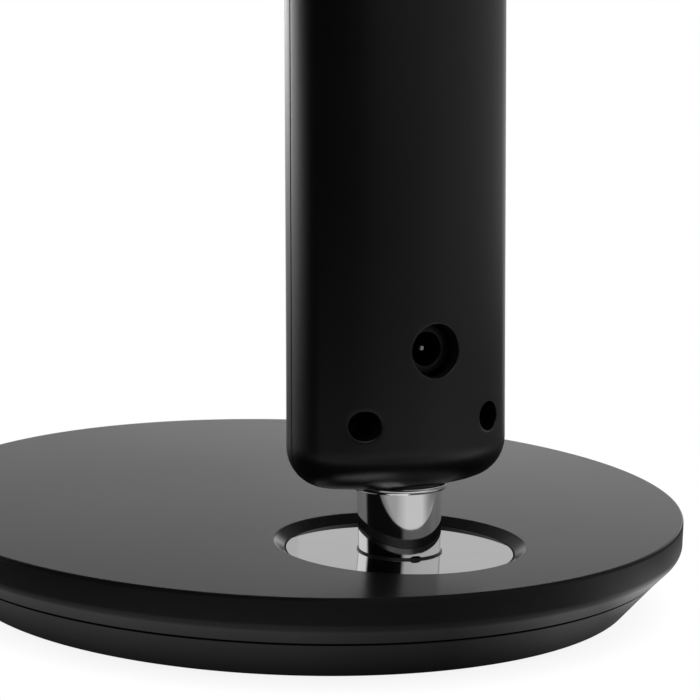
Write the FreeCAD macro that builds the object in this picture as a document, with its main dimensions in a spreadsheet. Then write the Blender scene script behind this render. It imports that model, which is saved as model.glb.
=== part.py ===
"""LED desk lamp: round weighted base, chrome swivel post, slim upright arm and a tilting LED bar.

Frame: millimetres, +Z up, origin at the centre of the base on the surface it stands on.
The bar reaches towards -Y, and the post stands behind the middle of the base, towards +Y.
"""
import FreeCAD
import Part
import Sketcher
import math
import os
import re

# Driving sizes, in millimetres and degrees.
SIZES = {
    # Base shell.
    "base_radius": (78.3, "radius of the rim"),
    "base_height": (17.7, "height of the two base covers together"),
    "rim_drop": (6.1, "depth of the upright rim band below the top"),
    "rim_round": (0.9, "rounding of the top edge"),
    "waist_radius": (74.9, "radius at the parting groove"),
    "waist_drop": (9.7, "depth of the parting groove below the top"),
    "groove_gap": (0.8, "height of the parting groove"),
    "foot_radius": (68.0, "radius of the lowest edge of the covers"),
    "base_wall": (2.5, "wall of the base covers"),
    "tongue_depth": (2.5, "how far the inner tongue stands behind the groove"),
    "tongue_rise": (2.3, "height of the inner tongue above the groove"),
    "pad_radius": (62.0, "radius of the rubber pad"),
    "pad_thick": (2.0, "thickness of the rubber pad"),
    "pad_proud": (1.3, "how far the pad stands below the covers"),
    "boss_circle": (56.0, "distance of the base screws from the centre"),
    "boss_radius": (4.2, "radius of the screw bosses"),
    "seat_rise": (2.0, "height of the screw seats above the base floor"),
    "ballast_radius": (50.5, "radius of the steel weight"),
    "ballast_thick": (8.5, "thickness of the steel weight"),
    "ballast_bay": (24.0, "radius of the bay left for the swivel parts"),
    "ballast_hole_circle": (38.0, "distance of the weight's screws from the centre"),
    # Mirror disc and its recess.
    "post_offset": (40.0, "distance of the post behind the base centre"),
    "recess_radius": (25.1, "outer radius of the sloping recess wall"),
    "recess_depth": (1.5, "depth of the mirror disc below the base top"),
    "disc_radius": (22.1, "radius of the mirror disc"),
    "disc_thick": (1.5, "thickness of the mirror disc"),
    "disc_gap": (0.25, "gap round the mirror disc"),
    # Swivel under the disc.
    "shaft_radius": (6.0, "radius of the swivel shaft"),
    "shaft_foot": (1.2, "height of the shaft's end above the base floor"),
    "running_gap": (0.05, "radial running clearance of shafts and pins"),
    "bush_wall": (2.8, "wall of the swivel bush"),
    "bush_flange": (13.0, "radius of the bush flange"),
    "flange_thick": (2.0, "thickness of the bush flange"),
    "washer_thick": (0.8, "thickness of the friction washers"),
    "stop_thick": (1.2, "thickness of the stop plate"),
    "stop_reach": (17.0, "radius of the stop plate"),
    "stop_hub": (9.0, "radius of the stop plate's hub"),
    "stop_pin_radius": (1.5, "radius of the stop pin"),
    "stop_pin_circle": (15.0, "distance of the stop pin from the swivel axis"),
    "stop_slack": (0.1, "gap left at the end of the swivel"),
    "spring_thick": (1.0, "thickness of the spring washers"),
    "nut_radius": (8.6, "corner radius of the swivel nut"),
    "nut_thick": (3.0, "thickness of the swivel nut"),
    # Post and collar.
    "lean": (4.0, "forward lean of the post and arm, degrees"),
    "post_foot_radius": (8.0, "radius of the post at its foot"),
    "post_top_radius": (8.25, "radius of the post under the arm"),
    "post_wall": (1.6, "wall of the chrome post"),
    "post_entry": (3.0, "how far the post enters the arm"),
    "ring_radius": (8.6, "radius of the ring under the post"),
    "ring_thick": (0.5, "thickness of the ring under the post"),
    "collar_radius": (9.4, "radius of the collar under the arm"),
    "collar_thick": (1.2, "thickness of the collar under the arm"),
    # Arm.
    "arm_bottom": (13.3, "height of the arm's lower end above the disc"),
    "hinge_rise": (330.0, "height of the bar's hinge above the disc"),
    "yoke_gap": (16.0, "height of the hinge above the yoke's flange"),
    "yoke_flange": (3.0, "thickness of the yoke's flange"),
    "arm_half": (23.0, "half the arm's width"),
    "seam_shift": (1.4, "distance of the seam in front of the post axis"),
    "rear_depth": (15.2, "depth of the rear cover behind the seam"),
    "rear_corner": (11.0, "corner radius of the rear cover"),
    "front_depth": (10.7, "depth of the front cover before the seam"),
    "front_corner": (8.4, "corner radius of the front cover"),
    "arm_round": (8.0, "rounding of the arm's lower end"),
    "arm_wall": (2.2, "wall of the arm covers"),
    "arm_floor": (5.0, "thickness of the arm's lower end"),
    "arm_boss_radius": (4.2, "radius of the arm's screw bosses"),
    "arm_boss_side": (13.7, "distance of the arm's screws from its middle"),
    "arm_screw_rise": (26.5, "height of the lower arm screws above the disc"),
    "arm_screw_top": (24.0, "distance of the upper arm screws below the arm's top"),
    "screw_bore": (2.8, "radius of the screw wells in the rear cover"),
    "screw_seat": (3.0, "depth of the screw seats behind the seam"),
    "spine_half": (8.0, "half the width of the steel spine"),
    "spine_thick": (3.0, "thickness of the steel spine"),
    "spine_gap": (0.6, "gap between the spine and the front cover"),
    "clamp_half": (9.0, "half the width of the stem clamp"),
    "clamp_depth": (13.3, "depth of the stem clamp"),
    "clamp_tall": (12.0, "height of the stem clamp"),
    "lug_tall": (8.0, "height of the clamp's screw lug"),
    "lug_gap": (0.5, "gap between the clamp's lug and the driver board"),
    # Power inlet and driver.
    "jack_rise": (40.3, "height of the power inlet above the disc"),
    "jack_hole": (5.1, "radius of the hole round the power inlet"),
    "jack_sink": (3.9, "depth of the inlet's face below the rear cover"),
    "jack_barrel": (4.8, "radius of the inlet's barrel"),
    "jack_barrel_long": (4.0, "length of the inlet's barrel"),
    "jack_bore": (3.15, "radius of the inlet's socket"),
    "jack_bore_deep": (9.2, "depth of the inlet's socket"),
    "jack_half": (4.5, "half the width of the inlet's block"),
    "jack_tall": (11.0, "height of the inlet's block"),
    "jack_pin_radius": (1.05, "radius of the inlet's centre pin"),
    "jack_pin_short": (1.2, "distance of the pin's tip inside the socket's face"),
    "board_half": (13.0, "half the width of the driver board"),
    "board_thick": (1.6, "thickness of the circuit boards"),
    "board_long": (84.0, "length of the driver board"),
    "board_gap": (3.2, "gap between the driver board and the spine"),
    "spacer_radius": (2.4, "radius of the board spacers"),
    "lead_radius": (0.9, "radius of the insulated leads"),
    "capacitor_radius": (4.0, "radius of the large capacitor"),
    "capacitor_tall": (10.0, "height of the large capacitor"),
    "filter_radius": (2.6, "radius of the small capacitor"),
    "filter_tall": (8.0, "height of the small capacitor"),
    "coil_radius": (4.2, "radius of the coil"),
    "coil_tall": (6.0, "height of the coil"),
    "chip_wide": (6.0, "width and length of the chip"),
    "chip_tall": (1.8, "height of the chip"),
    "driver_side": (6.4, "distance of the driver parts from the board's middle"),
    # Hinge at the arm's top.
    "ear_inner": (11.0, "distance of the yoke's ears from the middle"),
    "ear_thick": (7.0, "thickness of the yoke's ears"),
    "ear_radius": (10.0, "radius of the yoke's ears"),
    "knuckle_radius": (9.8, "radius of the bar's knuckle"),
    "hinge_pin_radius": (3.0, "radius of the hinge bolt"),
    "bolt_head_radius": (5.0, "radius of the hinge bolt's head"),
    "bolt_head_thick": (2.4, "thickness of the hinge bolt's head"),
    "cap_radius": (9.0, "radius of the hinge caps"),
    "cap_thick": (4.6, "thickness of the hinge caps"),
    "cap_wall": (1.0, "wall of the hinge caps"),
    "plug_half": (12.0, "half the width of the yoke's plug"),
    "plug_tall": (14.0, "height of the yoke's plug"),
    "plug_depth": (13.0, "depth of the yoke's plug"),
    # Bar with the light.
    "bar_start": (16.0, "distance of the bar's end from the hinge"),
    "bar_long": (300.0, "length of the bar"),
    "bar_half": (20.0, "half the bar's width"),
    "bar_rise": (10.0, "height of the bar's cover above the parting"),
    "bar_corner": (7.0, "corner radius of the bar's cover"),
    "bar_drop": (5.0, "depth of the bar's frame below the parting"),
    "frame_corner": (4.0, "corner radius of the bar's frame"),
    "bar_wall": (2.0, "wall of the bar"),
    "bar_round": (3.0, "rounding of the ends of the bar's cover"),
    "frame_round": (2.0, "rounding of the ends of the bar's frame"),
    "window_half": (15.5, "half the width of the light window"),
    "window_margin": (6.0, "distance of the window from the bar's ends"),
    "diffuser_thick": (1.6, "thickness of the diffuser's edge"),
    "diffuser_gap": (0.2, "gap round the diffuser"),
    "diffuser_proud": (0.2, "how far the diffuser stands below the frame"),
    "neck_low": (2.5, "depth of the neck below the hinge axis"),
    "neck_high": (6.0, "height of the neck above the hinge axis"),
    "neck_reach": (38.0, "distance of the neck's end from the hinge"),
    "neck_screw_near": (23.0, "distance of the first neck screw from the hinge"),
    "neck_screw_pitch": (9.0, "distance between the neck screws"),
    "led_board_start": (42.0, "distance of the LED board from the hinge"),
    "led_board_half": (15.0, "half the width of the LED board"),
    "led_board_level": (0.2, "height of the LED board's lower face above the parting"),
    "led_row_side": (6.5, "distance of the LED rows from the middle"),
    "led_pitch": (16.0, "distance between LEDs along the bar"),
    "led_wide": (2.8, "width of an LED"),
    "led_deep": (3.5, "length of an LED"),
    "led_tall": (0.7, "height of an LED"),
    "bar_boss_side": (12.5, "distance of the board's screws from the middle"),
    "bar_boss_radius": (2.2, "radius of the bar's bosses"),
    "bar_boss_top": (6.2, "height of the bar's bosses above the parting"),
    # Buttons on the bar.
    "button_near": (56.0, "distance of the first button from the hinge"),
    "button_pitch": (15.0, "distance between the buttons"),
    "button_radius": (4.6, "radius of the buttons"),
    "button_gap": (0.15, "gap round a button"),
    "button_proud": (0.7, "how far a button stands out of the bar"),
    "button_travel": (0.6, "travel of a button"),
    "button_lip": (0.8, "width of a button's lip"),
    "button_lip_thick": (0.9, "thickness of a button's lip"),
    "button_stem": (1.6, "radius of a button's stem"),
    "switch_half": (3.0, "half the width of a switch"),
    "switch_tall": (2.0, "height of a switch"),
    "switch_board_half": (8.5, "half the width of the switch board"),
    "switch_board_level": (2.8, "height of the switch board above the parting"),
    "switch_board_thick": (1.0, "thickness of the switch board"),
    "switch_margin": (11.0, "length of the switch board beyond its outer buttons"),
    "stake_radius": (1.5, "radius of the stakes that hold the switch board"),
    # Screws.
    "screw_radius": (1.5, "radius of the screw shanks"),
    "screw_gap": (0.1, "radial gap round the screw shanks"),
    "screw_head": (2.6, "radius of the screw heads"),
    "screw_head_tall": (1.7, "height of the screw heads"),
    "drive_half": (0.45, "half the width of the cross recess in a screw"),
    "drive_deep": (0.9, "depth of the cross recess in a screw"),
    "cut_margin": (2.0, "how far a cutting shape runs past what it cuts"),
}

# Counts and fixed turns.
BASE_SCREW_TURNS = (45, 135, 225, 315)
BALLAST_SCREW_TURNS = (180, 270, 0)
LED_COUNT = 16
BOARD_SCREW_COUNT = 4
BUTTONS = ("power_button", "brighter_button", "dimmer_button")

doc = FreeCAD.newDocument("desk_lamp")
sheet = doc.addObject("Spreadsheet::Sheet", "Sizes")
for row, (name, (number, meaning)) in enumerate(SIZES.items(), 1):
    sheet.set(f"A{row}", name)
    sheet.set(f"B{row}", str(number))
    sheet.setAlias(f"B{row}", name)
    sheet.set(f"C{row}", meaning)
doc.recompute()

pieces = []


def bound(formula):
    """Return the formula with each size name pointing at its cell."""
    def point(word):
        return f"Sizes.{word[0]}" if word[0] in SIZES else word[0]
    return re.sub(r"[a-z][a-z0-9_]*", point, str(formula))


def value(formula):
    """Return the number that a formula of size names gives."""
    return float(sheet.evalExpression(bound(formula)))


def bind(item, **formulas):
    """Tie properties of an object to formulas of size names."""
    for name, formula in formulas.items():
        item.setExpression(name, bound(formula))


def locate(item, x=0, y=0, z=0, facing="z"):
    """Put an object at a point given by formulas, with its axis along one direction."""
    turns = {"z": ((0, 0, 1), 0), "-z": ((1, 0, 0), 180), "y": ((1, 0, 0), -90),
             "-y": ((1, 0, 0), 90), "x": ((0, 1, 0), 90), "-x": ((0, 1, 0), -90),
             "lean": ((1, 0, 0), value("lean"))}
    axis, angle = turns[facing]
    turn = FreeCAD.Rotation(FreeCAD.Vector(*axis), angle)
    item.Placement = FreeCAD.Placement(FreeCAD.Vector(value(x), value(y), value(z)), turn)
    for axis_name, formula in (("x", x), ("y", y), ("z", z)):
        item.setExpression(f"Placement.Base.{axis_name}", bound(formula))


def piece(label, home=None):
    """Start a sub-part as a body in its own place."""
    body = doc.addObject("PartDesign::Body", label)
    body.Label = label
    if home is not None:
        body.Placement = home
    pieces.append(body)
    return body


def tube(body, action, radius, length, x=0, y=0, z=0, facing="z"):
    """Add or cut a round bar that starts at a point and runs along one direction."""
    item = body.newObject(f"PartDesign::{action}Cylinder", f"{action}Round")
    bind(item, Radius=radius, Height=length)
    locate(item, x, y, z, facing)
    return item


def cone(body, action, start_radius, end_radius, length, x=0, y=0, z=0, facing="z"):
    """Add or cut a cone that starts at a point and runs along one direction."""
    item = body.newObject(f"PartDesign::{action}Cone", f"{action}Cone")
    bind(item, Radius1=start_radius, Radius2=end_radius, Height=length)
    locate(item, x, y, z, facing)
    return item


def block(body, action, x, y, z):
    """Add or cut a box between two limits along each axis."""
    item = body.newObject(f"PartDesign::{action}Box", f"{action}Box")
    bind(item, Length=f"({x[1]}) - ({x[0]})", Width=f"({y[1]}) - ({y[0]})", Height=f"({z[1]}) - ({z[0]})")
    locate(item, x[0], y[0], z[0])
    return item


def hexagon(body, corner, length, x=0, y=0, z=0, facing="z"):
    """Add a six-sided bar that starts at a point and runs along one direction."""
    item = body.newObject("PartDesign::AdditivePrism", "Hexagon")
    item.Polygon = 6
    bind(item, Circumradius=corner, Height=length)
    locate(item, x, y, z, facing)
    return item


def sketch_on(body, plane, offset=0):
    """Start a sketch on one of the body's own origin planes, moved along its normal."""
    sketch = body.newObject("Sketcher::SketchObject", "Sketch")
    origin = [item for item in body.Origin.OriginFeatures if item.Role == plane][0]
    sketch.AttachmentSupport = [(origin, "")]
    sketch.MapMode = "FlatFace"
    sketch.setExpression("AttachmentOffset.Base.z", bound(offset))
    return sketch


def hold(sketch, kind, *place, formula):
    """Add one dimension to a sketch and tie it to a formula."""
    index = sketch.addConstraint(Sketcher.Constraint(kind, *place, value(formula)))
    sketch.setExpression(f"Constraints[{index}]", bound(formula))


def outline(sketch, corners):
    """Draw a closed outline of straight sides through corners given by formulas."""
    spots = [FreeCAD.Vector(value(x), value(y), 0) for x, y in corners]
    count = len(corners)
    for index in range(count):
        sketch.addGeometry(Part.LineSegment(spots[index], spots[(index + 1) % count]), False)
    for index in range(count):
        sketch.addConstraint(Sketcher.Constraint("Coincident", index, 2, (index + 1) % count, 1))
    for index, (x, y) in enumerate(corners):
        hold(sketch, "DistanceX", index, 1, formula=x)
        hold(sketch, "DistanceY", index, 1, formula=y)


def half_oval(sketch, half, depth, corner, level, side):
    """Draw half an oval: two corner arcs and a crown arc that meet smoothly, closed by a straight side."""
    crown = f"((({half}) - ({corner}))^2 + ({depth})^2 - ({corner})^2) / (2 * (({depth}) - ({corner})))"
    reach = f"({half}) - ({corner})"
    shoulder = value(reach)
    swell = value(crown)
    base = value(level)
    crown_centre = base + side * (value(depth) - swell)
    turn = math.atan2(swell - value(depth), shoulder)
    up = FreeCAD.Vector(0, 0, 1)
    arcs = [
        (FreeCAD.Vector(shoulder, base, 0), value(corner), 0, turn),
        (FreeCAD.Vector(0, crown_centre, 0), swell, turn, math.pi - turn),
        (FreeCAD.Vector(-shoulder, base, 0), value(corner), math.pi - turn, math.pi),
    ]
    for centre, radius, first, last in arcs:
        if side < 0:
            first, last = -last, -first
        sketch.addGeometry(Part.ArcOfCircle(Part.Circle(centre, up, radius), first, last), False)
    left = FreeCAD.Vector(-value(half), base, 0)
    right = FreeCAD.Vector(value(half), base, 0)
    sketch.addGeometry(Part.LineSegment(left, right), False)
    near, far = (1, 2) if side > 0 else (2, 1)
    sketch.addConstraint(Sketcher.Constraint("Tangent", 0, far, 1, near))
    sketch.addConstraint(Sketcher.Constraint("Tangent", 1, far, 2, near))
    sketch.addConstraint(Sketcher.Constraint("Coincident", 2, far, 3, 1))
    sketch.addConstraint(Sketcher.Constraint("Coincident", 3, 2, 0, near))
    hold(sketch, "DistanceX", 0, 3, formula=reach)
    hold(sketch, "DistanceY", 0, 3, formula=level)
    hold(sketch, "DistanceX", 2, 3, formula=f"-({reach})")
    hold(sketch, "DistanceY", 2, 3, formula=level)
    hold(sketch, "Radius", 0, formula=corner)
    hold(sketch, "Radius", 2, formula=corner)
    hold(sketch, "Radius", 1, formula=crown)
    hold(sketch, "DistanceY", 0, near, formula=level)
    hold(sketch, "DistanceY", 2, far, formula=level)


def revolve(body, corners):
    """Turn an outline in the XZ plane round the body's Z axis."""
    sketch = sketch_on(body, "XZ_Plane")
    outline(sketch, corners)
    turned = body.newObject("PartDesign::Revolution", "Turned")
    turned.Profile = sketch
    turned.ReferenceAxis = (sketch, ["V_Axis"])
    turned.Angle = 360
    return turned


def extrude(body, action, sketch, length, reverse=False):
    """Pad or pocket a sketch, and check that it changed the solid the right way."""
    doc.recompute()
    before = body.Shape.Volume if body.Tip and not body.Shape.isNull() else 0
    item = body.newObject(f"PartDesign::{action}", action)
    item.Profile = sketch
    item.Reversed = reverse
    bind(item, Length=length)
    doc.recompute()
    grown = body.Shape.Volume - before
    if (action == "Pad") != (grown > 0) or abs(grown) < 1e-6:
        raise RuntimeError(f"{body.Label}: {action} did not work as meant")
    return item


def round_edges(body, radius, chosen):
    """Round the edges of the body's last feature that the test function picks."""
    doc.recompute()
    last = body.Tip
    edges = [f"Edge{number}" for number, edge in enumerate(last.Shape.Edges, 1) if chosen(edge)]
    if not edges:
        raise RuntimeError(f"{body.Label}: no edge to round")
    item = body.newObject("PartDesign::Fillet", "Round")
    item.Base = (last, edges)
    bind(item, Radius=radius)
    doc.recompute()
    return item


def at_height(edge, level):
    """Say whether an edge lies wholly at one height."""
    return abs(edge.BoundBox.ZMin - level) < 1e-4 and abs(edge.BoundBox.ZMax - level) < 1e-4


def is_straight(edge):
    """Say whether an edge is a straight line."""
    return isinstance(edge.Curve, Part.Line)


def part_solid(kind, label, place, **formulas):
    """Make a plain solid outside any body, tied to the sheet."""
    item = doc.addObject(f"Part::{kind}", label)
    bind(item, **formulas)
    item.Placement = place
    return item


def screw(label, shank_length, place, head_radius="screw_head", head_tall="screw_head_tall"):
    """Make a pan-head screw: the shank runs down from the origin and the head stands above it."""
    along = FreeCAD.Placement(FreeCAD.Vector(0, 0, -value(shank_length)), FreeCAD.Rotation())
    shank = part_solid("Cylinder", f"{label}_shank", along, Radius="screw_radius", Height=shank_length)
    head = part_solid("Cylinder", f"{label}_head", FreeCAD.Placement(), Radius=head_radius, Height=head_tall)
    slots = []
    for turn in (0, 90):
        spin = FreeCAD.Rotation(FreeCAD.Vector(0, 0, 1), turn)
        corner = FreeCAD.Vector(-value(head_radius) * 0.6, -value("drive_half"),
                                value(f"({head_tall}) - drive_deep"))
        slot_place = FreeCAD.Placement(spin.multVec(corner), spin)
        slots.append(part_solid("Box", f"{label}_slot{turn}", slot_place, Length=f"({head_radius}) * 1.2",
                                Width="2 * drive_half", Height="drive_deep + cut_margin"))
    whole = doc.addObject("Part::MultiFuse", f"{label}_whole")
    whole.Shapes = [shank, head]
    cross = doc.addObject("Part::MultiFuse", f"{label}_cross")
    cross.Shapes = slots
    cut = doc.addObject("Part::Cut", label)
    cut.Base = whole
    cut.Tool = cross
    cut.Placement = place
    return cut


def group(label, members, home=None):
    """Keep several like solids together as one sub-part."""
    bundle = doc.addObject("Part::Compound", label)
    bundle.Label = label
    bundle.Links = members
    if home is not None:
        bundle.Placement = home
    pieces.append(bundle)
    return bundle


def spot(x, y, z, facing="z"):
    """Return a placement at a point given by formulas, facing along one direction."""
    turns = {"z": ((0, 0, 1), 0), "-z": ((1, 0, 0), 180), "y": ((1, 0, 0), -90), "-y": ((1, 0, 0), 90)}
    axis, angle = turns[facing]
    turn = FreeCAD.Rotation(FreeCAD.Vector(*axis), angle)
    return FreeCAD.Placement(FreeCAD.Vector(value(x), value(y), value(z)), turn)


# Levels of the base, from the surface it stands on.
TOP = "(pad_proud + base_height)"
DISC = f"({TOP} - recess_depth)"
PLATE = f"({TOP} - base_wall)"
GROOVE_TOP = f"({TOP} - waist_drop + groove_gap / 2)"
GROOVE_FOOT = f"({TOP} - waist_drop - groove_gap / 2)"
RIM_FOOT = f"({TOP} - rim_drop)"
UNDER_FLOOR = "(pad_thick)"
FLOOR = "(pad_thick + base_wall)"
SEAT = f"({FLOOR} + seat_rise)"
POCKET_FLOOR = f"({DISC} - disc_thick)"
POCKET_FOOT = f"({POCKET_FLOOR} - base_wall)"

# Radii of the outer cone where the two covers meet at the groove.
UPPER_SLOPE = "((base_radius - waist_radius) / (waist_drop - rim_drop))"
LOWER_SLOPE = "((waist_radius - foot_radius) / (base_height - waist_drop))"
UPPER_EDGE = f"(waist_radius + {UPPER_SLOPE} * groove_gap / 2)"
LOWER_EDGE = f"(waist_radius - {LOWER_SLOPE} * groove_gap / 2)"
TONGUE = "(waist_radius - tongue_depth)"

# Places of the arm and of the bar.
SEAM = "(-seam_shift)"
ARM_TOP = "(hinge_rise - yoke_gap - yoke_flange)"
HINGE_Y = "((rear_depth - front_depth) / 2 - seam_shift)"
CLAMP_FOOT = "(arm_bottom + arm_floor + spine_gap)"
CLAMP_TOP = f"({CLAMP_FOOT} + clamp_tall)"
swivel_home = FreeCAD.Placement(FreeCAD.Vector(0, value("post_offset"), 0), FreeCAD.Rotation())
arm_turn = FreeCAD.Rotation(FreeCAD.Vector(1, 0, 0), value("lean"))
arm_home = FreeCAD.Placement(FreeCAD.Vector(0, value("post_offset"), value(DISC)), arm_turn)
hinge_point = arm_home.multVec(FreeCAD.Vector(0, value(HINGE_Y), value("hinge_rise")))
bar_home = FreeCAD.Placement(hinge_point, FreeCAD.Rotation())
hinge_home = FreeCAD.Placement(hinge_point, arm_turn)


def around(circle, turn):
    """Return formulas for a point on a circle about the base centre."""
    return f"{circle} * cos({turn} deg)", f"{circle} * sin({turn} deg)"


# Upper base cover: a turned shell with the recess, its floor, and four screw bosses.
base_top_cover = piece("base_top_cover")
revolve(base_top_cover, [
    ("0", TOP), ("base_radius", TOP), ("base_radius", RIM_FOOT), (UPPER_EDGE, GROOVE_TOP),
    (f"{UPPER_EDGE} - base_wall", GROOVE_TOP), ("base_radius - base_wall", f"{RIM_FOOT} + base_wall / 3"),
    ("base_radius - base_wall", PLATE), ("0", PLATE),
])
round_edges(base_top_cover, "rim_round", lambda edge: at_height(edge, value(TOP)))
tube(base_top_cover, "Additive", "recess_radius + base_wall", f"{PLATE} - {POCKET_FOOT} + base_wall / 2",
     y="post_offset", z=POCKET_FOOT)
cone(base_top_cover, "Subtractive", "disc_radius + disc_gap", "recess_radius", "recess_depth",
     y="post_offset", z=DISC)
tube(base_top_cover, "Subtractive", "disc_radius + disc_gap", "disc_thick", y="post_offset", z=POCKET_FLOOR)
tube(base_top_cover, "Subtractive", "shaft_radius + running_gap + bush_wall", "base_wall + cut_margin",
     y="post_offset", z=f"{POCKET_FOOT} - cut_margin / 2")
tube(base_top_cover, "Subtractive", "stop_pin_radius", "base_wall / 2",
     y="post_offset - stop_pin_circle", z=POCKET_FOOT)
for turn in BASE_SCREW_TURNS:
    boss_x, boss_y = around("boss_circle", turn)
    tube(base_top_cover, "Additive", "boss_radius", f"{PLATE} - {SEAT} + base_wall / 2", boss_x, boss_y, SEAT)
    tube(base_top_cover, "Subtractive", "screw_radius + screw_gap", f"{PLATE} - {SEAT} - base_wall / 2",
         boss_x, boss_y, SEAT)

# Lower base cover: a dish with a tongue behind the groove, screw seats and a shallow pad pocket.
base_bottom_cover = piece("base_bottom_cover")
revolve(base_bottom_cover, [
    ("0", UNDER_FLOOR), ("pad_radius + disc_gap", UNDER_FLOOR), ("pad_radius + disc_gap", "pad_proud"),
    ("foot_radius", "pad_proud"), (LOWER_EDGE, GROOVE_FOOT), (TONGUE, GROOVE_FOOT),
    (TONGUE, f"{GROOVE_FOOT} + tongue_rise"), (f"{TONGUE} - base_wall", f"{GROOVE_FOOT} + tongue_rise"),
    (f"{TONGUE} - base_wall", GROOVE_FOOT), ("foot_radius - base_wall / 2", FLOOR), ("0", FLOOR),
])
for turn in BASE_SCREW_TURNS:
    boss_x, boss_y = around("boss_circle", turn)
    tube(base_bottom_cover, "Additive", "boss_radius", f"{SEAT} - {UNDER_FLOOR}", boss_x, boss_y, UNDER_FLOOR)
    tube(base_bottom_cover, "Subtractive", "screw_head + screw_gap", "base_wall",
         boss_x, boss_y, UNDER_FLOOR)
    tube(base_bottom_cover, "Subtractive", "screw_radius + screw_gap",
         f"{SEAT} - {UNDER_FLOOR} + cut_margin", boss_x, boss_y, UNDER_FLOOR)
for turn in BALLAST_SCREW_TURNS:
    hole_x, hole_y = around("ballast_hole_circle", turn)
    tube(base_bottom_cover, "Subtractive", "screw_radius + screw_gap", "base_wall + cut_margin",
         hole_x, hole_y, f"{UNDER_FLOOR} - cut_margin / 2")

# Rubber pad: the flat disc that the lamp stands on.
foot_pad = piece("foot_pad")
tube(foot_pad, "Additive", "pad_radius", "pad_thick")

# Steel weight: a thick disc with a bay for the swivel and three screw holes.
ballast_plate = piece("ballast_plate")
tube(ballast_plate, "Additive", "ballast_radius", "ballast_thick", z=FLOOR)
tube(ballast_plate, "Subtractive", "ballast_bay", "ballast_thick + cut_margin",
     y="post_offset", z=f"{FLOOR} - cut_margin / 2")
for turn in BALLAST_SCREW_TURNS:
    hole_x, hole_y = around("ballast_hole_circle", turn)
    tube(ballast_plate, "Subtractive", "screw_radius + screw_gap", "ballast_thick + cut_margin",
         hole_x, hole_y, f"{FLOOR} - cut_margin / 2")

# Screws of the weight, driven down into the base floor.
members = []
for index, turn in enumerate(BALLAST_SCREW_TURNS):
    hole_x, hole_y = around("ballast_hole_circle", turn)
    members.append(screw(f"ballast_screw{index}", "ballast_thick + base_wall * 0.9",
                         spot(hole_x, hole_y, f"{FLOOR} + ballast_thick")))
group("ballast_screws", members)

# Screws of the base covers, driven up from below behind the pad.
members = []
for index, turn in enumerate(BASE_SCREW_TURNS):
    boss_x, boss_y = around("boss_circle", turn)
    members.append(screw(f"base_screw{index}", f"{PLATE} - {SEAT} - base_wall * 0.4",
                         spot(boss_x, boss_y, f"{UNDER_FLOOR} + base_wall", "-z")))
group("base_screws", members)

# Mirror disc: a thin polished plate in the recess, bored for the swivel shaft.
mirror_disc = piece("mirror_disc", swivel_home)
tube(mirror_disc, "Additive", "disc_radius", "disc_thick", z=POCKET_FLOOR)
tube(mirror_disc, "Subtractive", "shaft_radius + running_gap + bush_wall / 4", "disc_thick + cut_margin",
     z=f"{POCKET_FLOOR} - cut_margin / 2")

# Swivel bush: a flanged plastic sleeve in the base that the shaft turns in.
swivel_bush = piece("swivel_bush", swivel_home)
tube(swivel_bush, "Additive", "shaft_radius + bush_wall",
     f"{POCKET_FLOOR} - {POCKET_FOOT}", z=POCKET_FOOT)
tube(swivel_bush, "Additive", "bush_flange", "flange_thick", z=f"{POCKET_FOOT} - flange_thick")
tube(swivel_bush, "Subtractive", "shaft_radius + running_gap",
     f"{POCKET_FLOOR} - {POCKET_FOOT} + flange_thick + cut_margin",
     z=f"{POCKET_FOOT} - flange_thick - cut_margin / 2")

# Stop pin: a steel dowel hanging from the recess floor.
STOP_TOP = f"({POCKET_FOOT} - flange_thick - washer_thick)"
stop_pin = piece("stop_pin", swivel_home)
tube(stop_pin, "Additive", "stop_pin_radius - running_gap",
     f"{POCKET_FOOT} + base_wall / 2 - {STOP_TOP} + stop_thick",
     y="-stop_pin_circle", z=f"{STOP_TOP} - stop_thick")

# Friction washer under the bush.
swivel_washer = piece("swivel_washer", swivel_home)
tube(swivel_washer, "Additive", "bush_flange - washer_thick", "washer_thick", z=STOP_TOP)
tube(swivel_washer, "Subtractive", "shaft_radius + running_gap", "washer_thick + cut_margin",
     z=f"{STOP_TOP} - cut_margin / 2")

# Stop plate: half a disc that meets the pin at a quarter turn each way.
stop_plate = piece("stop_plate", swivel_home)
STOP_EDGE = "(stop_pin_radius + stop_slack)"
tube(stop_plate, "Additive", "stop_reach", "stop_thick", z=f"{STOP_TOP} - stop_thick")
block(stop_plate, "Subtractive", ("-stop_reach - cut_margin", "stop_reach + cut_margin"),
      ("-stop_reach - cut_margin", STOP_EDGE),
      (f"{STOP_TOP} - stop_thick - cut_margin", f"{STOP_TOP} + cut_margin"))
tube(stop_plate, "Additive", "stop_hub", "stop_thick", z=f"{STOP_TOP} - stop_thick")
tube(stop_plate, "Subtractive", "shaft_radius + running_gap", "stop_thick + cut_margin",
     z=f"{STOP_TOP} - stop_thick - cut_margin / 2")

# Spring washer and nut that hold the swivel together.
SPRING_FOOT = f"({STOP_TOP} - stop_thick - spring_thick)"
swivel_spring_washer = piece("swivel_spring_washer", swivel_home)
tube(swivel_spring_washer, "Additive", "stop_hub", "spring_thick", z=SPRING_FOOT)
tube(swivel_spring_washer, "Subtractive", "shaft_radius + running_gap", "spring_thick + cut_margin",
     z=f"{SPRING_FOOT} - cut_margin / 2")
swivel_nut = piece("swivel_nut", swivel_home)
hexagon(swivel_nut, "nut_radius", "nut_thick", z=f"{SPRING_FOOT} - nut_thick")
tube(swivel_nut, "Subtractive", "shaft_radius + running_gap", "nut_thick + cut_margin",
     z=f"{SPRING_FOOT} - nut_thick - cut_margin / 2")

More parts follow.
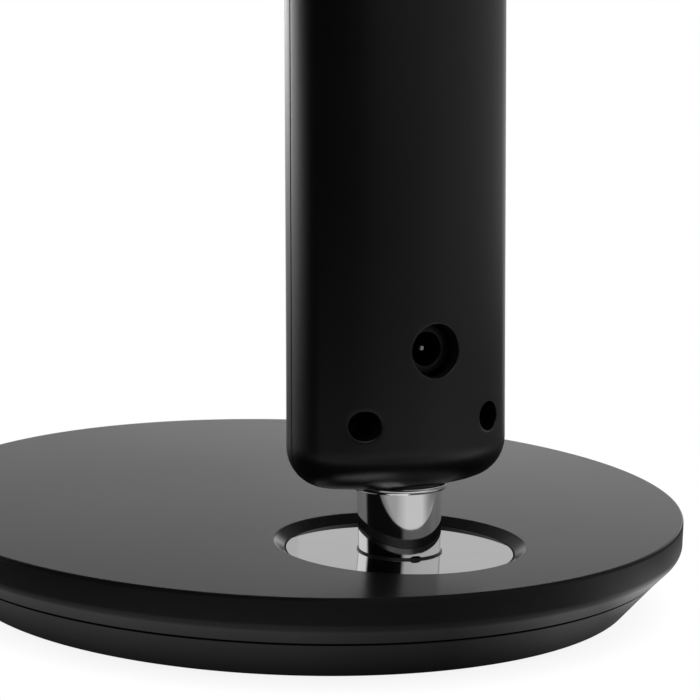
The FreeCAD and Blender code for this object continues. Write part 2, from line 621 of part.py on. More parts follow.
# Pivot stem: an upright shaft in the base that bends forward into the leaning stem of the arm.
pivot_stem = piece("pivot_stem", swivel_home)
tube(pivot_stem, "Additive", "shaft_radius", f"{DISC} - {FLOOR} - shaft_foot", z=f"{FLOOR} + shaft_foot")
tube(pivot_stem, "Additive", "shaft_radius", CLAMP_TOP, z=DISC, facing="lean")
knee = pivot_stem.newObject("PartDesign::AdditiveSphere", "Knee")
bind(knee, Radius="shaft_radius")
locate(knee, z=DISC)

# Ring between the mirror disc and the post.
foot_ring = piece("foot_ring", swivel_home)
tube(foot_ring, "Additive", "ring_radius", "ring_thick", z=DISC)
tube(foot_ring, "Subtractive", "shaft_radius + running_gap * 4", "ring_thick + cut_margin",
     z=f"{DISC} - cut_margin / 2")

# Chrome post: a slightly tapered tube that leans with the arm and is cut level at its foot.
post_sleeve = piece("post_sleeve", swivel_home)
cone(post_sleeve, "Additive", "post_foot_radius", "post_top_radius", "arm_bottom + post_entry",
     z=DISC, facing="lean")
block(post_sleeve, "Subtractive", ("-ring_radius * 2", "ring_radius * 2"),
      ("-ring_radius * 2", "ring_radius * 2"), (f"{DISC} - ring_radius", f"{DISC} + ring_thick"))
tube(post_sleeve, "Subtractive", "post_foot_radius - post_wall", "arm_bottom + post_entry + cut_margin",
     z=DISC, facing="lean")

# Collar: the thin bright ring under the arm.
collar_ring = piece("collar_ring", arm_home)
tube(collar_ring, "Additive", "collar_radius", "collar_thick", z="arm_bottom - collar_thick")
tube(collar_ring, "Subtractive", "post_top_radius + running_gap", "collar_thick + cut_margin",
     z="arm_bottom - collar_thick - cut_margin / 2")


def arm_cover(label, side, depth, corner):
    """Make one half of the arm: an open shell, rounded below, bored for the post."""
    body = piece(label, arm_home)
    outer = sketch_on(body, "XY_Plane", "arm_bottom")
    half_oval(outer, "arm_half", depth, corner, SEAM, side)
    extrude(body, "Pad", outer, f"{ARM_TOP} - arm_bottom")
    foot = value("arm_bottom")
    round_edges(body, "arm_round", lambda edge: at_height(edge, foot) and not is_straight(edge))
    inner = sketch_on(body, "XY_Plane", ARM_TOP)
    half_oval(inner, "arm_half - arm_wall", f"{depth} - arm_wall", f"{corner} - arm_wall", SEAM, side)
    extrude(body, "Pocket", inner, f"{ARM_TOP} - arm_bottom - arm_floor")
    tube(body, "Subtractive", "post_top_radius + running_gap * 2", "post_entry + cut_margin",
         z="arm_bottom - cut_margin")
    tube(body, "Subtractive", "shaft_radius + running_gap * 4", "arm_floor + cut_margin * 2",
         z="arm_bottom - cut_margin")
    return body


# Rear arm cover: with the power inlet's hole and four screw wells.
SCREW_LEVELS = ("arm_screw_rise", f"{ARM_TOP} - arm_screw_top")
arm_rear_cover = arm_cover("arm_rear_cover", 1, "rear_depth", "rear_corner")
tube(arm_rear_cover, "Subtractive", "jack_hole", "rear_depth", z="jack_rise", facing="y")
for level in SCREW_LEVELS:
    for side in (-1, 1):
        across = f"{side} * arm_boss_side"
        tube(arm_rear_cover, "Additive", "arm_boss_radius", "rear_corner - arm_wall",
             across, SEAM, level, "y")
        tube(arm_rear_cover, "Subtractive", "screw_radius + screw_gap", "rear_depth",
             across, SEAM, level, "y")
        tube(arm_rear_cover, "Subtractive", "screw_bore", "rear_depth",
             across, f"{SEAM} + screw_seat", level, "y")

# Front arm cover: a shallower shell with four blind screw bosses.
arm_front_cover = arm_cover("arm_front_cover", -1, "front_depth", "front_corner")
for level in SCREW_LEVELS:
    for side in (-1, 1):
        across = f"{side} * arm_boss_side"
        tube(arm_front_cover, "Additive", "arm_boss_radius", "front_corner - arm_wall / 2",
             across, SEAM, level, "-y")
        tube(arm_front_cover, "Subtractive", "screw_radius + screw_gap", "front_corner - arm_wall",
             across, SEAM, level, "-y")

# Screws of the arm covers, seated deep in the rear wells.
members = []
for index, level in enumerate(SCREW_LEVELS):
    for side in (-1, 1):
        members.append(screw(f"arm_screw{index}{side + 1}", "screw_seat + front_corner - arm_wall * 1.2",
                             spot(f"{side} * arm_boss_side", f"{SEAM} + screw_seat", level, "y")))
group("arm_screws", members, arm_home)

# Steel spine: a flat bar behind the front cover, from the stem clamp to the yoke.
SPINE_FRONT = f"({SEAM} - front_depth + arm_wall + spine_gap)"
SPINE_BACK = f"({SPINE_FRONT} + spine_thick)"
PLUG_FOOT = f"({ARM_TOP} - plug_tall)"
SPINE_SCREW_LEVELS = (f"{CLAMP_TOP} + lug_tall / 2", f"{PLUG_FOOT} + plug_tall / 2")
SPACER_LEVELS = ("jack_rise + jack_tall", "jack_rise + board_long - jack_tall * 1.5")
arm_spine = piece("arm_spine", arm_home)
block(arm_spine, "Additive", ("-spine_half", "spine_half"), (SPINE_FRONT, SPINE_BACK),
      (CLAMP_FOOT, f"{ARM_TOP} - spine_gap"))
for level in SPINE_SCREW_LEVELS + SPACER_LEVELS:
    tube(arm_spine, "Subtractive", "screw_radius + screw_gap", "spine_thick + cut_margin",
         0, f"{SPINE_FRONT} - cut_margin / 2", level, "y")
for level in SPINE_SCREW_LEVELS:
    tube(arm_spine, "Subtractive", "screw_head + screw_gap", "screw_head_tall + cut_margin",
         0, f"{SPINE_FRONT} - cut_margin", level, "y")

# Stem clamp: a cast block that grips the stem and carries the spine.
stem_clamp = piece("stem_clamp", arm_home)
block(stem_clamp, "Additive", ("-clamp_half", "clamp_half"), (SPINE_BACK, f"{SPINE_BACK} + clamp_depth"),
      (CLAMP_FOOT, f"{CLAMP_FOOT} + clamp_tall"))
tube(stem_clamp, "Subtractive", "shaft_radius + running_gap", "clamp_tall + cut_margin",
     z=f"{CLAMP_FOOT} - cut_margin / 2")
LUG_BACK = f"({SPINE_BACK} + board_gap - lug_gap)"
block(stem_clamp, "Additive", ("-clamp_half", "clamp_half"), (SPINE_BACK, LUG_BACK),
      (CLAMP_TOP, f"{CLAMP_TOP} + lug_tall"))
tube(stem_clamp, "Subtractive", "screw_radius + screw_gap", "board_gap",
     0, SPINE_BACK, SPINE_SCREW_LEVELS[0], "y")

# Hinge yoke: a flange that closes the arm, a plug inside it and two round-ended ears.
hinge_yoke = piece("hinge_yoke", arm_home)
for side, depth, corner in ((1, "rear_depth", "rear_corner"), (-1, "front_depth", "front_corner")):
    flange = sketch_on(hinge_yoke, "XY_Plane", ARM_TOP)
    half_oval(flange, "arm_half", depth, corner, SEAM, side)
    extrude(hinge_yoke, "Pad", flange, "yoke_flange")
block(hinge_yoke, "Additive", ("-plug_half", "plug_half"), (SPINE_BACK, f"{SPINE_BACK} + plug_depth"),
      (PLUG_FOOT, ARM_TOP))
for low, high in (("ear_inner", "ear_inner + ear_thick"), ("-ear_inner - ear_thick", "-ear_inner")):
    block(hinge_yoke, "Additive", (low, high), (f"{HINGE_Y} - ear_radius", f"{HINGE_Y} + ear_radius"),
          (ARM_TOP, "hinge_rise"))
    tube(hinge_yoke, "Additive", "ear_radius", "ear_thick", low, HINGE_Y, "hinge_rise", "x")
tube(hinge_yoke, "Subtractive", "hinge_pin_radius + running_gap", "2 * (ear_inner + ear_thick + cut_margin)",
     "-ear_inner - ear_thick - cut_margin", HINGE_Y, "hinge_rise", "x")
LEAD_Y = f"({SPINE_BACK} + board_gap + board_thick + lead_radius)"
block(hinge_yoke, "Subtractive", ("-lead_radius * 3", "lead_radius * 3"),
      (f"{LEAD_Y} - lead_radius * 2", f"{LEAD_Y} + lead_radius * 2"),
      (f"{PLUG_FOOT} - cut_margin", f"{ARM_TOP} + yoke_flange + cut_margin"))
tube(hinge_yoke, "Subtractive", "screw_radius + screw_gap", "plug_depth / 4",
     0, SPINE_BACK, SPINE_SCREW_LEVELS[1], "y")

# Screws through the spine: one into the clamp and one into the yoke's plug.
members = []
SPINE_SCREW_SEAT = f"{SPINE_FRONT} + screw_head_tall"
SPINE_SCREW_REACH = ("board_gap - lug_gap * 2", "plug_depth / 5")
for index, (level, reach) in enumerate(zip(SPINE_SCREW_LEVELS, SPINE_SCREW_REACH)):
    members.append(screw(f"spine_screw{index}", f"spine_thick - screw_head_tall + {reach}",
                         spot(0, SPINE_SCREW_SEAT, level, "-y")))
group("spine_screws", members, arm_home)

# Driver board: the circuit board behind the spine that carries the power inlet.
BOARD_FRONT = f"({SPINE_BACK} + board_gap)"
BOARD_BACK = f"({BOARD_FRONT} + board_thick)"
BOARD_FOOT = "(jack_rise - jack_tall / 2)"
driver_board = piece("driver_board", arm_home)
block(driver_board, "Additive", ("-board_half", "board_half"), (BOARD_FRONT, BOARD_BACK),
      (BOARD_FOOT, f"{BOARD_FOOT} + board_long"))
for level in SPACER_LEVELS:
    tube(driver_board, "Subtractive", "screw_radius + screw_gap", "board_thick + cut_margin",
         0, f"{BOARD_FRONT} - cut_margin / 2", level, "y")

# Spacers between the board and the spine, and the screws through both.
members = []
for index, level in enumerate(SPACER_LEVELS):
    place = spot(0, SPINE_BACK, level, "y")
    outer = part_solid("Cylinder", f"spacer{index}_outer", place, Radius="spacer_radius", Height="board_gap")
    inner = part_solid("Cylinder", f"spacer{index}_inner", place, Radius="screw_radius + screw_gap",
                       Height="board_gap")
    cut = doc.addObject("Part::Cut", f"spacer{index}")
    cut.Base = outer
    cut.Tool = inner
    members.append(cut)
group("board_spacers", members, arm_home)
members = []
for index, level in enumerate(SPACER_LEVELS):
    members.append(screw(f"board_screw{index}", "board_thick + board_gap + spine_thick",
                         spot(0, BOARD_BACK, level, "y")))
group("board_screws", members, arm_home)

# Driver parts soldered to the board: two capacitors, a coil and a chip.
members = []
DRIVER_ROUNDS = (("capacitor_large", -1, 0.38, "capacitor_radius", "capacitor_tall"),
                 ("capacitor_small", 1, 0.45, "filter_radius", "filter_tall"),
                 ("coil", 1, 0.7, "coil_radius", "coil_tall"))
for label, side, share, radius, tall in DRIVER_ROUNDS:
    place = spot(f"{side} * driver_side", BOARD_BACK, f"{BOARD_FOOT} + board_long * {share}", "y")
    members.append(part_solid("Cylinder", label, place, Radius=radius, Height=tall))
place = spot("-driver_side - chip_wide / 2", BOARD_BACK, f"{BOARD_FOOT} + board_long * 0.62")
members.append(part_solid("Box", "chip", place, Length="chip_wide", Width="chip_tall", Height="chip_wide"))
group("driver_parts", members, arm_home)

# Power inlet: a block on the board with a round barrel and a deep socket facing the rear.
JACK_FACE = f"({SEAM} + rear_depth - jack_sink)"
dc_jack = piece("dc_jack", arm_home)
block(dc_jack, "Additive", ("-jack_half", "jack_half"), (BOARD_BACK, f"{JACK_FACE} - jack_barrel_long"),
      ("jack_rise - jack_tall / 2", "jack_rise + jack_tall / 2"))
tube(dc_jack, "Additive", "jack_barrel", "jack_barrel_long",
     0, f"{JACK_FACE} - jack_barrel_long", "jack_rise", "y")
tube(dc_jack, "Subtractive", "jack_bore", "jack_bore_deep + cut_margin",
     0, f"{JACK_FACE} - jack_bore_deep", "jack_rise", "y")
jack_pin = piece("jack_pin", arm_home)
tube(jack_pin, "Additive", "jack_pin_radius", "jack_bore_deep - jack_pin_short",
     0, f"{JACK_FACE} - jack_bore_deep", "jack_rise", "y")

# Leads from the driver board up through the yoke.
LEAD_FOOT = f"({BOARD_FOOT} + board_long - lead_radius * 4)"
members = []
for index, side in enumerate((-1, 1)):
    members.append(part_solid("Cylinder", f"arm_lead{index}",
                              spot(f"{side} * lead_radius * 1.4", LEAD_Y, LEAD_FOOT),
                              Radius="lead_radius", Height=f"{ARM_TOP} + yoke_flange - {LEAD_FOOT}"))
group("arm_leads", members, arm_home)

# Hinge bolt, washers, nut and caps, on the axis at the arm's top.
EAR_FACE = "(ear_inner + ear_thick)"
hinge_bolt = piece("hinge_bolt", hinge_home)
tube(hinge_bolt, "Additive", "hinge_pin_radius", f"2 * {EAR_FACE} + cap_thick - cap_wall * 1.5",
     f"-{EAR_FACE} - cap_thick + cap_wall * 1.5", facing="x")
tube(hinge_bolt, "Additive", "bolt_head_radius", "bolt_head_thick", EAR_FACE, facing="x")
members = []
for index, start in enumerate(("ear_inner - washer_thick", "-ear_inner")):
    sideways = FreeCAD.Rotation(FreeCAD.Vector(0, 1, 0), 90)
    place = FreeCAD.Placement(FreeCAD.Vector(value(start), 0, 0), sideways)
    outer = part_solid("Cylinder", f"hinge_washer{index}_outer", place,
                       Radius="ear_radius - washer_thick", Height="washer_thick")
    inner = part_solid("Cylinder", f"hinge_washer{index}_inner", place,
                       Radius="hinge_pin_radius + running_gap", Height="washer_thick")
    cut = doc.addObject("Part::Cut", f"hinge_washer{index}")
    cut.Base = outer
    cut.Tool = inner
    members.append(cut)
group("hinge_washers", members, hinge_home)
hinge_spring_washer = piece("hinge_spring_washer", hinge_home)
tube(hinge_spring_washer, "Additive", "bolt_head_radius + running_gap", "spring_thick",
     f"-{EAR_FACE}", facing="-x")
tube(hinge_spring_washer, "Subtractive", "hinge_pin_radius + running_gap", "spring_thick + cut_margin * 2",
     f"-{EAR_FACE} + cut_margin", facing="-x")
hinge_nut = piece("hinge_nut", hinge_home)
hexagon(hinge_nut, "bolt_head_radius + running_gap * 4", "cap_thick - cap_wall * 2 - spring_thick",
        f"-{EAR_FACE} - spring_thick", facing="-x")
tube(hinge_nut, "Subtractive", "hinge_pin_radius + running_gap", "cap_thick + cut_margin",
     f"-{EAR_FACE} + cut_margin", facing="-x")
for label, start, facing in (("hinge_cap_right", EAR_FACE, "x"), ("hinge_cap_left", f"-{EAR_FACE}", "-x")):
    cap = piece(label, hinge_home)
    tube(cap, "Additive", "cap_radius", "cap_thick", start, facing=facing)
    tube(cap, "Subtractive", "cap_radius - cap_wall * 2", "cap_thick - cap_wall", start, facing=facing)

# Knuckle: the barrel on the hinge bolt with the neck that enters the bar.
KNUCKLE_HALF = "(ear_inner - washer_thick)"
bar_knuckle = piece("bar_knuckle", bar_home)
tube(bar_knuckle, "Additive", "knuckle_radius", f"2 * {KNUCKLE_HALF}", f"-{KNUCKLE_HALF}", facing="x")
block(bar_knuckle, "Additive", (f"-{KNUCKLE_HALF}", KNUCKLE_HALF), ("-neck_reach", "-knuckle_radius / 2"),
      ("-neck_low", "neck_high"))
tube(bar_knuckle, "Subtractive", "hinge_pin_radius + running_gap", f"2 * {KNUCKLE_HALF} + cut_margin",
     f"-{KNUCKLE_HALF} - cut_margin / 2", facing="x")
NECK_SCREWS = ("neck_screw_near", "neck_screw_near + neck_screw_pitch")
for distance in NECK_SCREWS:
    tube(bar_knuckle, "Subtractive", "screw_radius + screw_gap", "neck_low + neck_high + cut_margin",
         0, f"-({distance})", "-neck_low - cut_margin / 2")
    tube(bar_knuckle, "Subtractive", "screw_head + screw_gap", "screw_head_tall + drive_deep + cut_margin",
         0, f"-({distance})", "-neck_low - cut_margin")

# Bar cover: the long crowned shell on top, with bosses, button holes and stakes.
BAR_END = "(bar_start + bar_long)"
BOARD_TOP = "(led_board_level + board_thick)"
BUTTON_SPOTS = [f"(button_near + {index} * button_pitch)" for index in range(len(BUTTONS))]
SWITCH_BOARD_NEAR = "(button_near - switch_margin)"
SWITCH_BOARD_FAR = f"(button_near + {len(BUTTONS) - 1} * button_pitch + switch_margin)"
STAKES = (f"({SWITCH_BOARD_NEAR} + stake_radius * 2)", f"({SWITCH_BOARD_FAR} - stake_radius * 2)")
SWITCH_BOARD_TOP = "(switch_board_level + switch_board_thick)"
BOSS_FIRST = "(led_board_start + bar_boss_radius * 2)"
BOSS_STEP = f"(({BAR_END} - bar_wall * 2 - bar_boss_radius * 2 - {BOSS_FIRST}) / {BOARD_SCREW_COUNT - 1})"
BOSS_SPOTS = [(f"{side} * bar_boss_side", f"-({BOSS_FIRST} + {index} * {BOSS_STEP})")
              for index in range(BOARD_SCREW_COUNT) for side in (-1, 1)]
bar_cover = piece("bar_cover", bar_home)
outer = sketch_on(bar_cover, "XZ_Plane", "bar_start")
half_oval(outer, "bar_half", "bar_rise", "bar_corner", 0, 1)
extrude(bar_cover, "Pad", outer, "bar_long")
bar_ends = (-value("bar_start"), -value(BAR_END))


def at_bar_end(edge):
    """Say whether an edge is a curved one on an end face of the bar."""
    flat = edge.BoundBox.YLength < 1e-4
    return flat and not is_straight(edge) and min(abs(edge.BoundBox.YMin - end) for end in bar_ends) < 1e-4


round_edges(bar_cover, "bar_round", at_bar_end)
inner = sketch_on(bar_cover, "XZ_Plane", "bar_start + bar_wall")
half_oval(inner, "bar_half - bar_wall", "bar_rise - bar_wall", "bar_corner - bar_wall", 0, 1)
extrude(bar_cover, "Pocket", inner, "bar_long - bar_wall * 2", reverse=True)
block(bar_cover, "Subtractive", (f"-{KNUCKLE_HALF} - diffuser_gap", f"{KNUCKLE_HALF} + diffuser_gap"),
      ("-bar_start - bar_wall * 2", "-bar_start + cut_margin"),
      ("-cut_margin", "neck_high + diffuser_gap / 4"))
for across, along in BOSS_SPOTS:
    tube(bar_cover, "Additive", "bar_boss_radius", f"bar_boss_top - {BOARD_TOP}", across, along, BOARD_TOP)
    tube(bar_cover, "Subtractive", "screw_radius * 0.7 + screw_gap",
         f"bar_boss_top - {BOARD_TOP} - bar_wall / 4", across, along, BOARD_TOP)
for distance in NECK_SCREWS:
    tube(bar_cover, "Additive", "bar_boss_radius", "bar_rise - bar_wall / 2 - neck_high",
         0, f"-({distance})", "neck_high")
    tube(bar_cover, "Subtractive", "screw_radius + screw_gap", "bar_rise - bar_wall / 2 - neck_high",
         0, f"-({distance})", "neck_high")
for distance in STAKES:
    tube(bar_cover, "Additive", "stake_radius * 1.6", f"bar_rise - bar_wall / 2 - {SWITCH_BOARD_TOP}",
         0, f"-{distance}", SWITCH_BOARD_TOP)
    tube(bar_cover, "Additive", "stake_radius", "switch_board_thick + diffuser_gap",
         0, f"-{distance}", "switch_board_level - diffuser_gap")
for distance in BUTTON_SPOTS:
    tube(bar_cover, "Subtractive", "button_radius + button_gap", "bar_rise",
         0, f"-{distance}", "bar_rise / 2")

# Bar frame: the shallow lower shell with the light window and a ledge for the diffuser.
bar_frame = piece("bar_frame", bar_home)
outer = sketch_on(bar_frame, "XZ_Plane", "bar_start")
half_oval(outer, "bar_half", "bar_drop", "frame_corner", 0, -1)
extrude(bar_frame, "Pad", outer, "bar_long")
round_edges(bar_frame, "frame_round", at_bar_end)
INNER_HALF = "(bar_half - bar_wall)"
LEDGE = "(-bar_drop + bar_wall)"
block(bar_frame, "Subtractive", (f"-{INNER_HALF}", INNER_HALF),
      (f"-{BAR_END} + bar_wall", "-bar_start - bar_wall"), (LEDGE, "cut_margin"))
block(bar_frame, "Subtractive", ("-window_half", "window_half"),
      (f"-{BAR_END} + window_margin", "-neck_reach - window_margin"), ("-bar_drop - cut_margin", "0"))
block(bar_frame, "Subtractive", (f"-{KNUCKLE_HALF} - diffuser_gap", f"{KNUCKLE_HALF} + diffuser_gap"),
      ("-bar_start - bar_wall * 2", "-bar_start + cut_margin"), ("-neck_low - diffuser_gap", "cut_margin"))

# Diffuser: an opal plate on the ledge whose face fills the window.
diffuser = piece("diffuser", bar_home)
block(diffuser, "Additive", (f"-{INNER_HALF} + diffuser_gap", f"{INNER_HALF} - diffuser_gap"),
      (f"-{BAR_END} + bar_wall + diffuser_gap", "-neck_reach - diffuser_gap"),
      (LEDGE, f"{LEDGE} + diffuser_thick"))
block(diffuser, "Additive", ("-window_half + diffuser_gap", "window_half - diffuser_gap"),
      (f"-{BAR_END} + window_margin + diffuser_gap", "-neck_reach - window_margin - diffuser_gap"),
      ("-bar_drop - diffuser_proud", LEDGE))

# LED board: an aluminium strip screwed under the bosses of the cover.
LED_BOARD_FAR = f"({BAR_END} - bar_wall * 2)"
led_board = piece("led_board", bar_home)
block(led_board, "Additive", ("-led_board_half", "led_board_half"),
      (f"-{LED_BOARD_FAR}", "-led_board_start"), ("led_board_level", BOARD_TOP))
for across, along in BOSS_SPOTS:
    tube(led_board, "Subtractive", "screw_radius * 0.7 + screw_gap", "board_thick + cut_margin",
         across, along, "led_board_level - cut_margin / 2")

# Light-emitting chips in two rows under the board.
members = []
FIRST_LED = "(led_board_start + led_pitch / 2)"
for index in range(LED_COUNT):
    for side in (-1, 1):
        along = f"-({FIRST_LED} + {index} * led_pitch) - led_deep / 2"
        place = spot(f"{side} * led_row_side - led_wide / 2", along, "led_board_level - led_tall")
        members.append(part_solid("Box", f"led{index}_{side + 1}", place,
                                  Length="led_wide", Width="led_deep", Height="led_tall"))
group("led_chips", members, bar_home)

# Small screws of the LED board, with flat heads under it.
members = []
for index, (across, along) in enumerate(BOSS_SPOTS):
    place = spot(across, along, "led_board_level", "-z")
    shank = part_solid("Cylinder", f"led_screw{index}_shank",
                       spot(across, along, "led_board_level"), Radius="screw_radius * 0.7",
                       Height=f"bar_boss_top - {BOARD_TOP} + board_thick - bar_wall / 2")
    head = part_solid("Cylinder", f"led_screw{index}_head", place,
                      Radius="bar_boss_radius", Height="led_tall")
    whole = doc.addObject("Part::MultiFuse", f"led_screw{index}")
    whole.Shapes = [shank, head]
    members.append(whole)
group("led_board_screws", members, bar_home)

# Screws of the neck, driven up into the bosses of the cover.
members = []
for index, distance in enumerate(NECK_SCREWS):
    members.append(screw(f"neck_screw{index}",
                         "neck_high + neck_low - screw_head_tall - drive_deep + bar_wall / 2",
                         spot(0, f"-({distance})", "-neck_low + screw_head_tall + drive_deep", "-z")))
group("neck_screws", members, bar_home)

# Switch board with three small switches that the buttons press.
switch_board = piece("switch_board", bar_home)
block(switch_board, "Additive", ("-switch_board_half", "switch_board_half"),
      (f"-{SWITCH_BOARD_FAR}", f"-{SWITCH_BOARD_NEAR}"), ("switch_board_level", SWITCH_BOARD_TOP))
for distance in STAKES:
    tube(switch_board, "Subtractive", "stake_radius + running_gap", "switch_board_thick + cut_margin",
         0, f"-{distance}", "switch_board_level - cut_margin / 2")
members = []
SWITCH_TOP = f"({SWITCH_BOARD_TOP} + switch_tall)"
WELL_FLOOR = f"({SWITCH_TOP} - button_travel - button_lip)"
for index, distance in enumerate(BUTTON_SPOTS):
    place = spot("-switch_half", f"-{distance} - switch_half", SWITCH_BOARD_TOP)
    case = part_solid("Box", f"switch{index}_case", place,
                      Length="2 * switch_half", Width="2 * switch_half", Height="switch_tall")
    well = part_solid("Cylinder", f"switch{index}_well", spot(0, f"-{distance}", WELL_FLOOR),
                      Radius="button_stem + button_gap", Height="switch_tall")
    cut = doc.addObject("Part::Cut", f"switch{index}")
    cut.Base = case
    cut.Tool = well
    members.append(cut)
group("tact_switches", members, bar_home)

# Buttons: a round cap through the cover, a lip under it and a stem into the switch.
BAR_CROWN = "(((bar_half - bar_corner)^2 + bar_rise^2 - bar_corner^2) / (2 * (bar_rise - bar_corner)))"
LIP_SAG = f"((button_radius + button_lip)^2 / (2 * ({BAR_CROWN} - bar_wall)))"
LIP_TOP = f"(bar_rise - bar_wall - button_gap - {LIP_SAG})"
for label, distance in zip(BUTTONS, BUTTON_SPOTS):
    button = piece(label, bar_home)
    tube(button, "Additive", "button_radius", f"bar_rise + button_proud - {LIP_TOP}",
         0, f"-{distance}", LIP_TOP)
    tube(button, "Additive", "button_radius + button_lip", "button_lip_thick",
         0, f"-{distance}", f"{LIP_TOP} - button_lip_thick")
    tube(button, "Additive", "button_stem",
         f"{LIP_TOP} - button_lip_thick / 2 - {SWITCH_TOP} + button_lip / 2",
         0, f"-{distance}", f"{SWITCH_TOP} - button_lip / 2")

# Leads on top of the LED board, from the neck.
members = []
for index, side in enumerate((-1, 1)):
    members.append(part_solid("Cylinder", f"bar_lead{index}",
                              spot(f"{side} * (bar_boss_side - bar_boss_radius - lead_radius * 1.5)",
                                   "-neck_reach", f"{BOARD_TOP} + lead_radius", "-y"),
                              Radius="lead_radius", Height="led_board_start - neck_reach + lead_radius * 3"))
group("bar_leads", members, bar_home)

doc.recompute()

# Check every object before anything is written.
for item in doc.Objects:
    if "Invalid" in item.State or "Error" in item.State:
        raise RuntimeError(f"{item.Label}: {item.State}")
os.makedirs("parts", exist_ok=True)
for item in pieces:
    shape = item.Shape
    if shape.isNull() or not shape.isValid() or not shape.Solids:
        raise RuntimeError(f"{item.Label}: bad shape")
for item in pieces:
    item.Shape.exportStep(f"parts/{item.Label}.step")
print(f"{len(pieces)} sub-parts, hinge at y {hinge_point.y:.2f} z {hinge_point.z:.2f}")
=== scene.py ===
import math
import bmesh
import bpy
import numpy as np
from mathutils import Matrix, Vector


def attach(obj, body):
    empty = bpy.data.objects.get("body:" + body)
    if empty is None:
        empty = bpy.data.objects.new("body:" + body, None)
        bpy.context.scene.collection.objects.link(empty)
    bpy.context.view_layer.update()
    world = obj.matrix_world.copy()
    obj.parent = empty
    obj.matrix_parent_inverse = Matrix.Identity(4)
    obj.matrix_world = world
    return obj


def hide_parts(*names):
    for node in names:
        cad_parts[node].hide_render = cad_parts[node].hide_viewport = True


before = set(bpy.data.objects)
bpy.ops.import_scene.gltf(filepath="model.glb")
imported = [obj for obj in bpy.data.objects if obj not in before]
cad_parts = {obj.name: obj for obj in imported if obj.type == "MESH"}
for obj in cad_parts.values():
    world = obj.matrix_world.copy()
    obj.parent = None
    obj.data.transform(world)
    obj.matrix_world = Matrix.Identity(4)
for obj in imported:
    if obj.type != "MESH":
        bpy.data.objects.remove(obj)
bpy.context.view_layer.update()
scene = bpy.context.scene
scene.view_settings.view_transform = "Standard"

# Camera: stands behind the lamp and a little to its left, low, and looks at the base and the
# lower arm. It is aimed past the base centre, so the base runs out of the frame on one side.
BASE_TOP = 0.019
CAMERA_TURN = math.radians(150.4)
CAMERA_DROP = math.radians(13.3)
CAMERA_DISTANCE = 0.66206
AIM_RIGHT = math.radians(0.81913)
AIM_UP = math.radians(2.64027)
CAMERA_ROLL = math.radians(1.76)
SENSOR_WIDTH = 36.0
FOCAL_RATIO = 3236 / 700
CAMERA_BACK = CAMERA_DISTANCE * math.cos(CAMERA_DROP)
CAMERA_RISE = CAMERA_DISTANCE * math.sin(CAMERA_DROP) + BASE_TOP
camera_data = bpy.data.cameras.new("camera")
camera_data.sensor_width = SENSOR_WIDTH
camera_data.lens = SENSOR_WIDTH * FOCAL_RATIO
camera_data.clip_start = 0.01
camera = bpy.data.objects.new("camera", camera_data)
camera.matrix_world = (
    Matrix.Rotation(CAMERA_TURN, 4, "Z") @ Matrix.Translation((0, -CAMERA_BACK, CAMERA_RISE))
    @ Matrix.Rotation(math.pi / 2 - CAMERA_DROP + AIM_UP, 4, "X")
    @ Matrix.Rotation(-AIM_RIGHT, 4, "Y") @ Matrix.Rotation(CAMERA_ROLL, 4, "Z"))
scene.collection.objects.link(camera)
scene.camera = camera


# Room: plain white to the camera. Polished and satin faces see a surround that is bright low
# behind the lamp and dark on the camera's side, a soft band overhead and a panel on each side.
def set_inputs(tree, node, inputs):
    """Set a node's inputs, or link them, by name or number."""
    for key, source in inputs.items():
        if isinstance(source, bpy.types.NodeSocket):
            tree.links.new(source, node.inputs[key])
        else:
            node.inputs[key].default_value = source


def add_node(tree, kind, inputs=None, **settings):
    """Add a shader node with its properties and inputs."""
    node = tree.nodes.new("ShaderNode" + kind)
    for key, setting in settings.items():
        setattr(node, key, setting)
    set_inputs(tree, node, inputs or {})
    return node


def add_math(tree, operation, *terms):
    """Add a Math node on numbers or sockets and return its result."""
    return add_node(tree, "Math", dict(enumerate(terms)), operation=operation).outputs[0]


def add_ramp(tree, factor, stops):
    """Add a colour ramp through (place, grey or colour) stops and return its colour."""
    node = add_node(tree, "ValToRGB", {0: factor})
    ramp = node.color_ramp
    while len(ramp.elements) < len(stops):
        ramp.elements.new(0.5)
    for element, (place, shade) in zip(ramp.elements, stops):
        element.position = place
        element.color = (*((shade,) * 3 if isinstance(shade, (int, float)) else shade), 1.0)
    return node.outputs[0]


CAMERA_SIDE = (math.sin(CAMERA_TURN), -math.cos(CAMERA_TURN), 0.0)
CAMERA_RIGHT = (math.cos(CAMERA_TURN), math.sin(CAMERA_TURN), 0.0)


def along_axis(tree, direction, axis):
    """Measure a direction along an axis by their dot product."""
    node = add_node(tree, "VectorMath", {0: direction, 1: axis}, operation="DOT_PRODUCT")
    return node.outputs["Value"]


def around(tree, direction, stops):
    """Read a tone by the turn of a direction, in degrees to the right of the camera."""
    turn = add_math(tree, "ARCTAN2", along_axis(tree, direction, CAMERA_RIGHT),
                    along_axis(tree, direction, CAMERA_SIDE))
    share = add_math(tree, "MULTIPLY_ADD", turn, 0.5 / math.pi, 0.5)
    return add_ramp(tree, share, [(degrees / 360 + 0.5, shade) for degrees, shade in stops])


def panel(tree, measure, stops, direction, turns):
    """Shade a patch of the room: a tone by one measure times a tone by the turn."""
    tone = add_ramp(tree, measure, stops)
    return add_math(tree, "MULTIPLY", tone, around(tree, direction, turns))


def brightest(tree, first, *others):
    """Take the greatest of several tones."""
    for other in others:
        first = add_math(tree, "MAXIMUM", first, other)
    return first


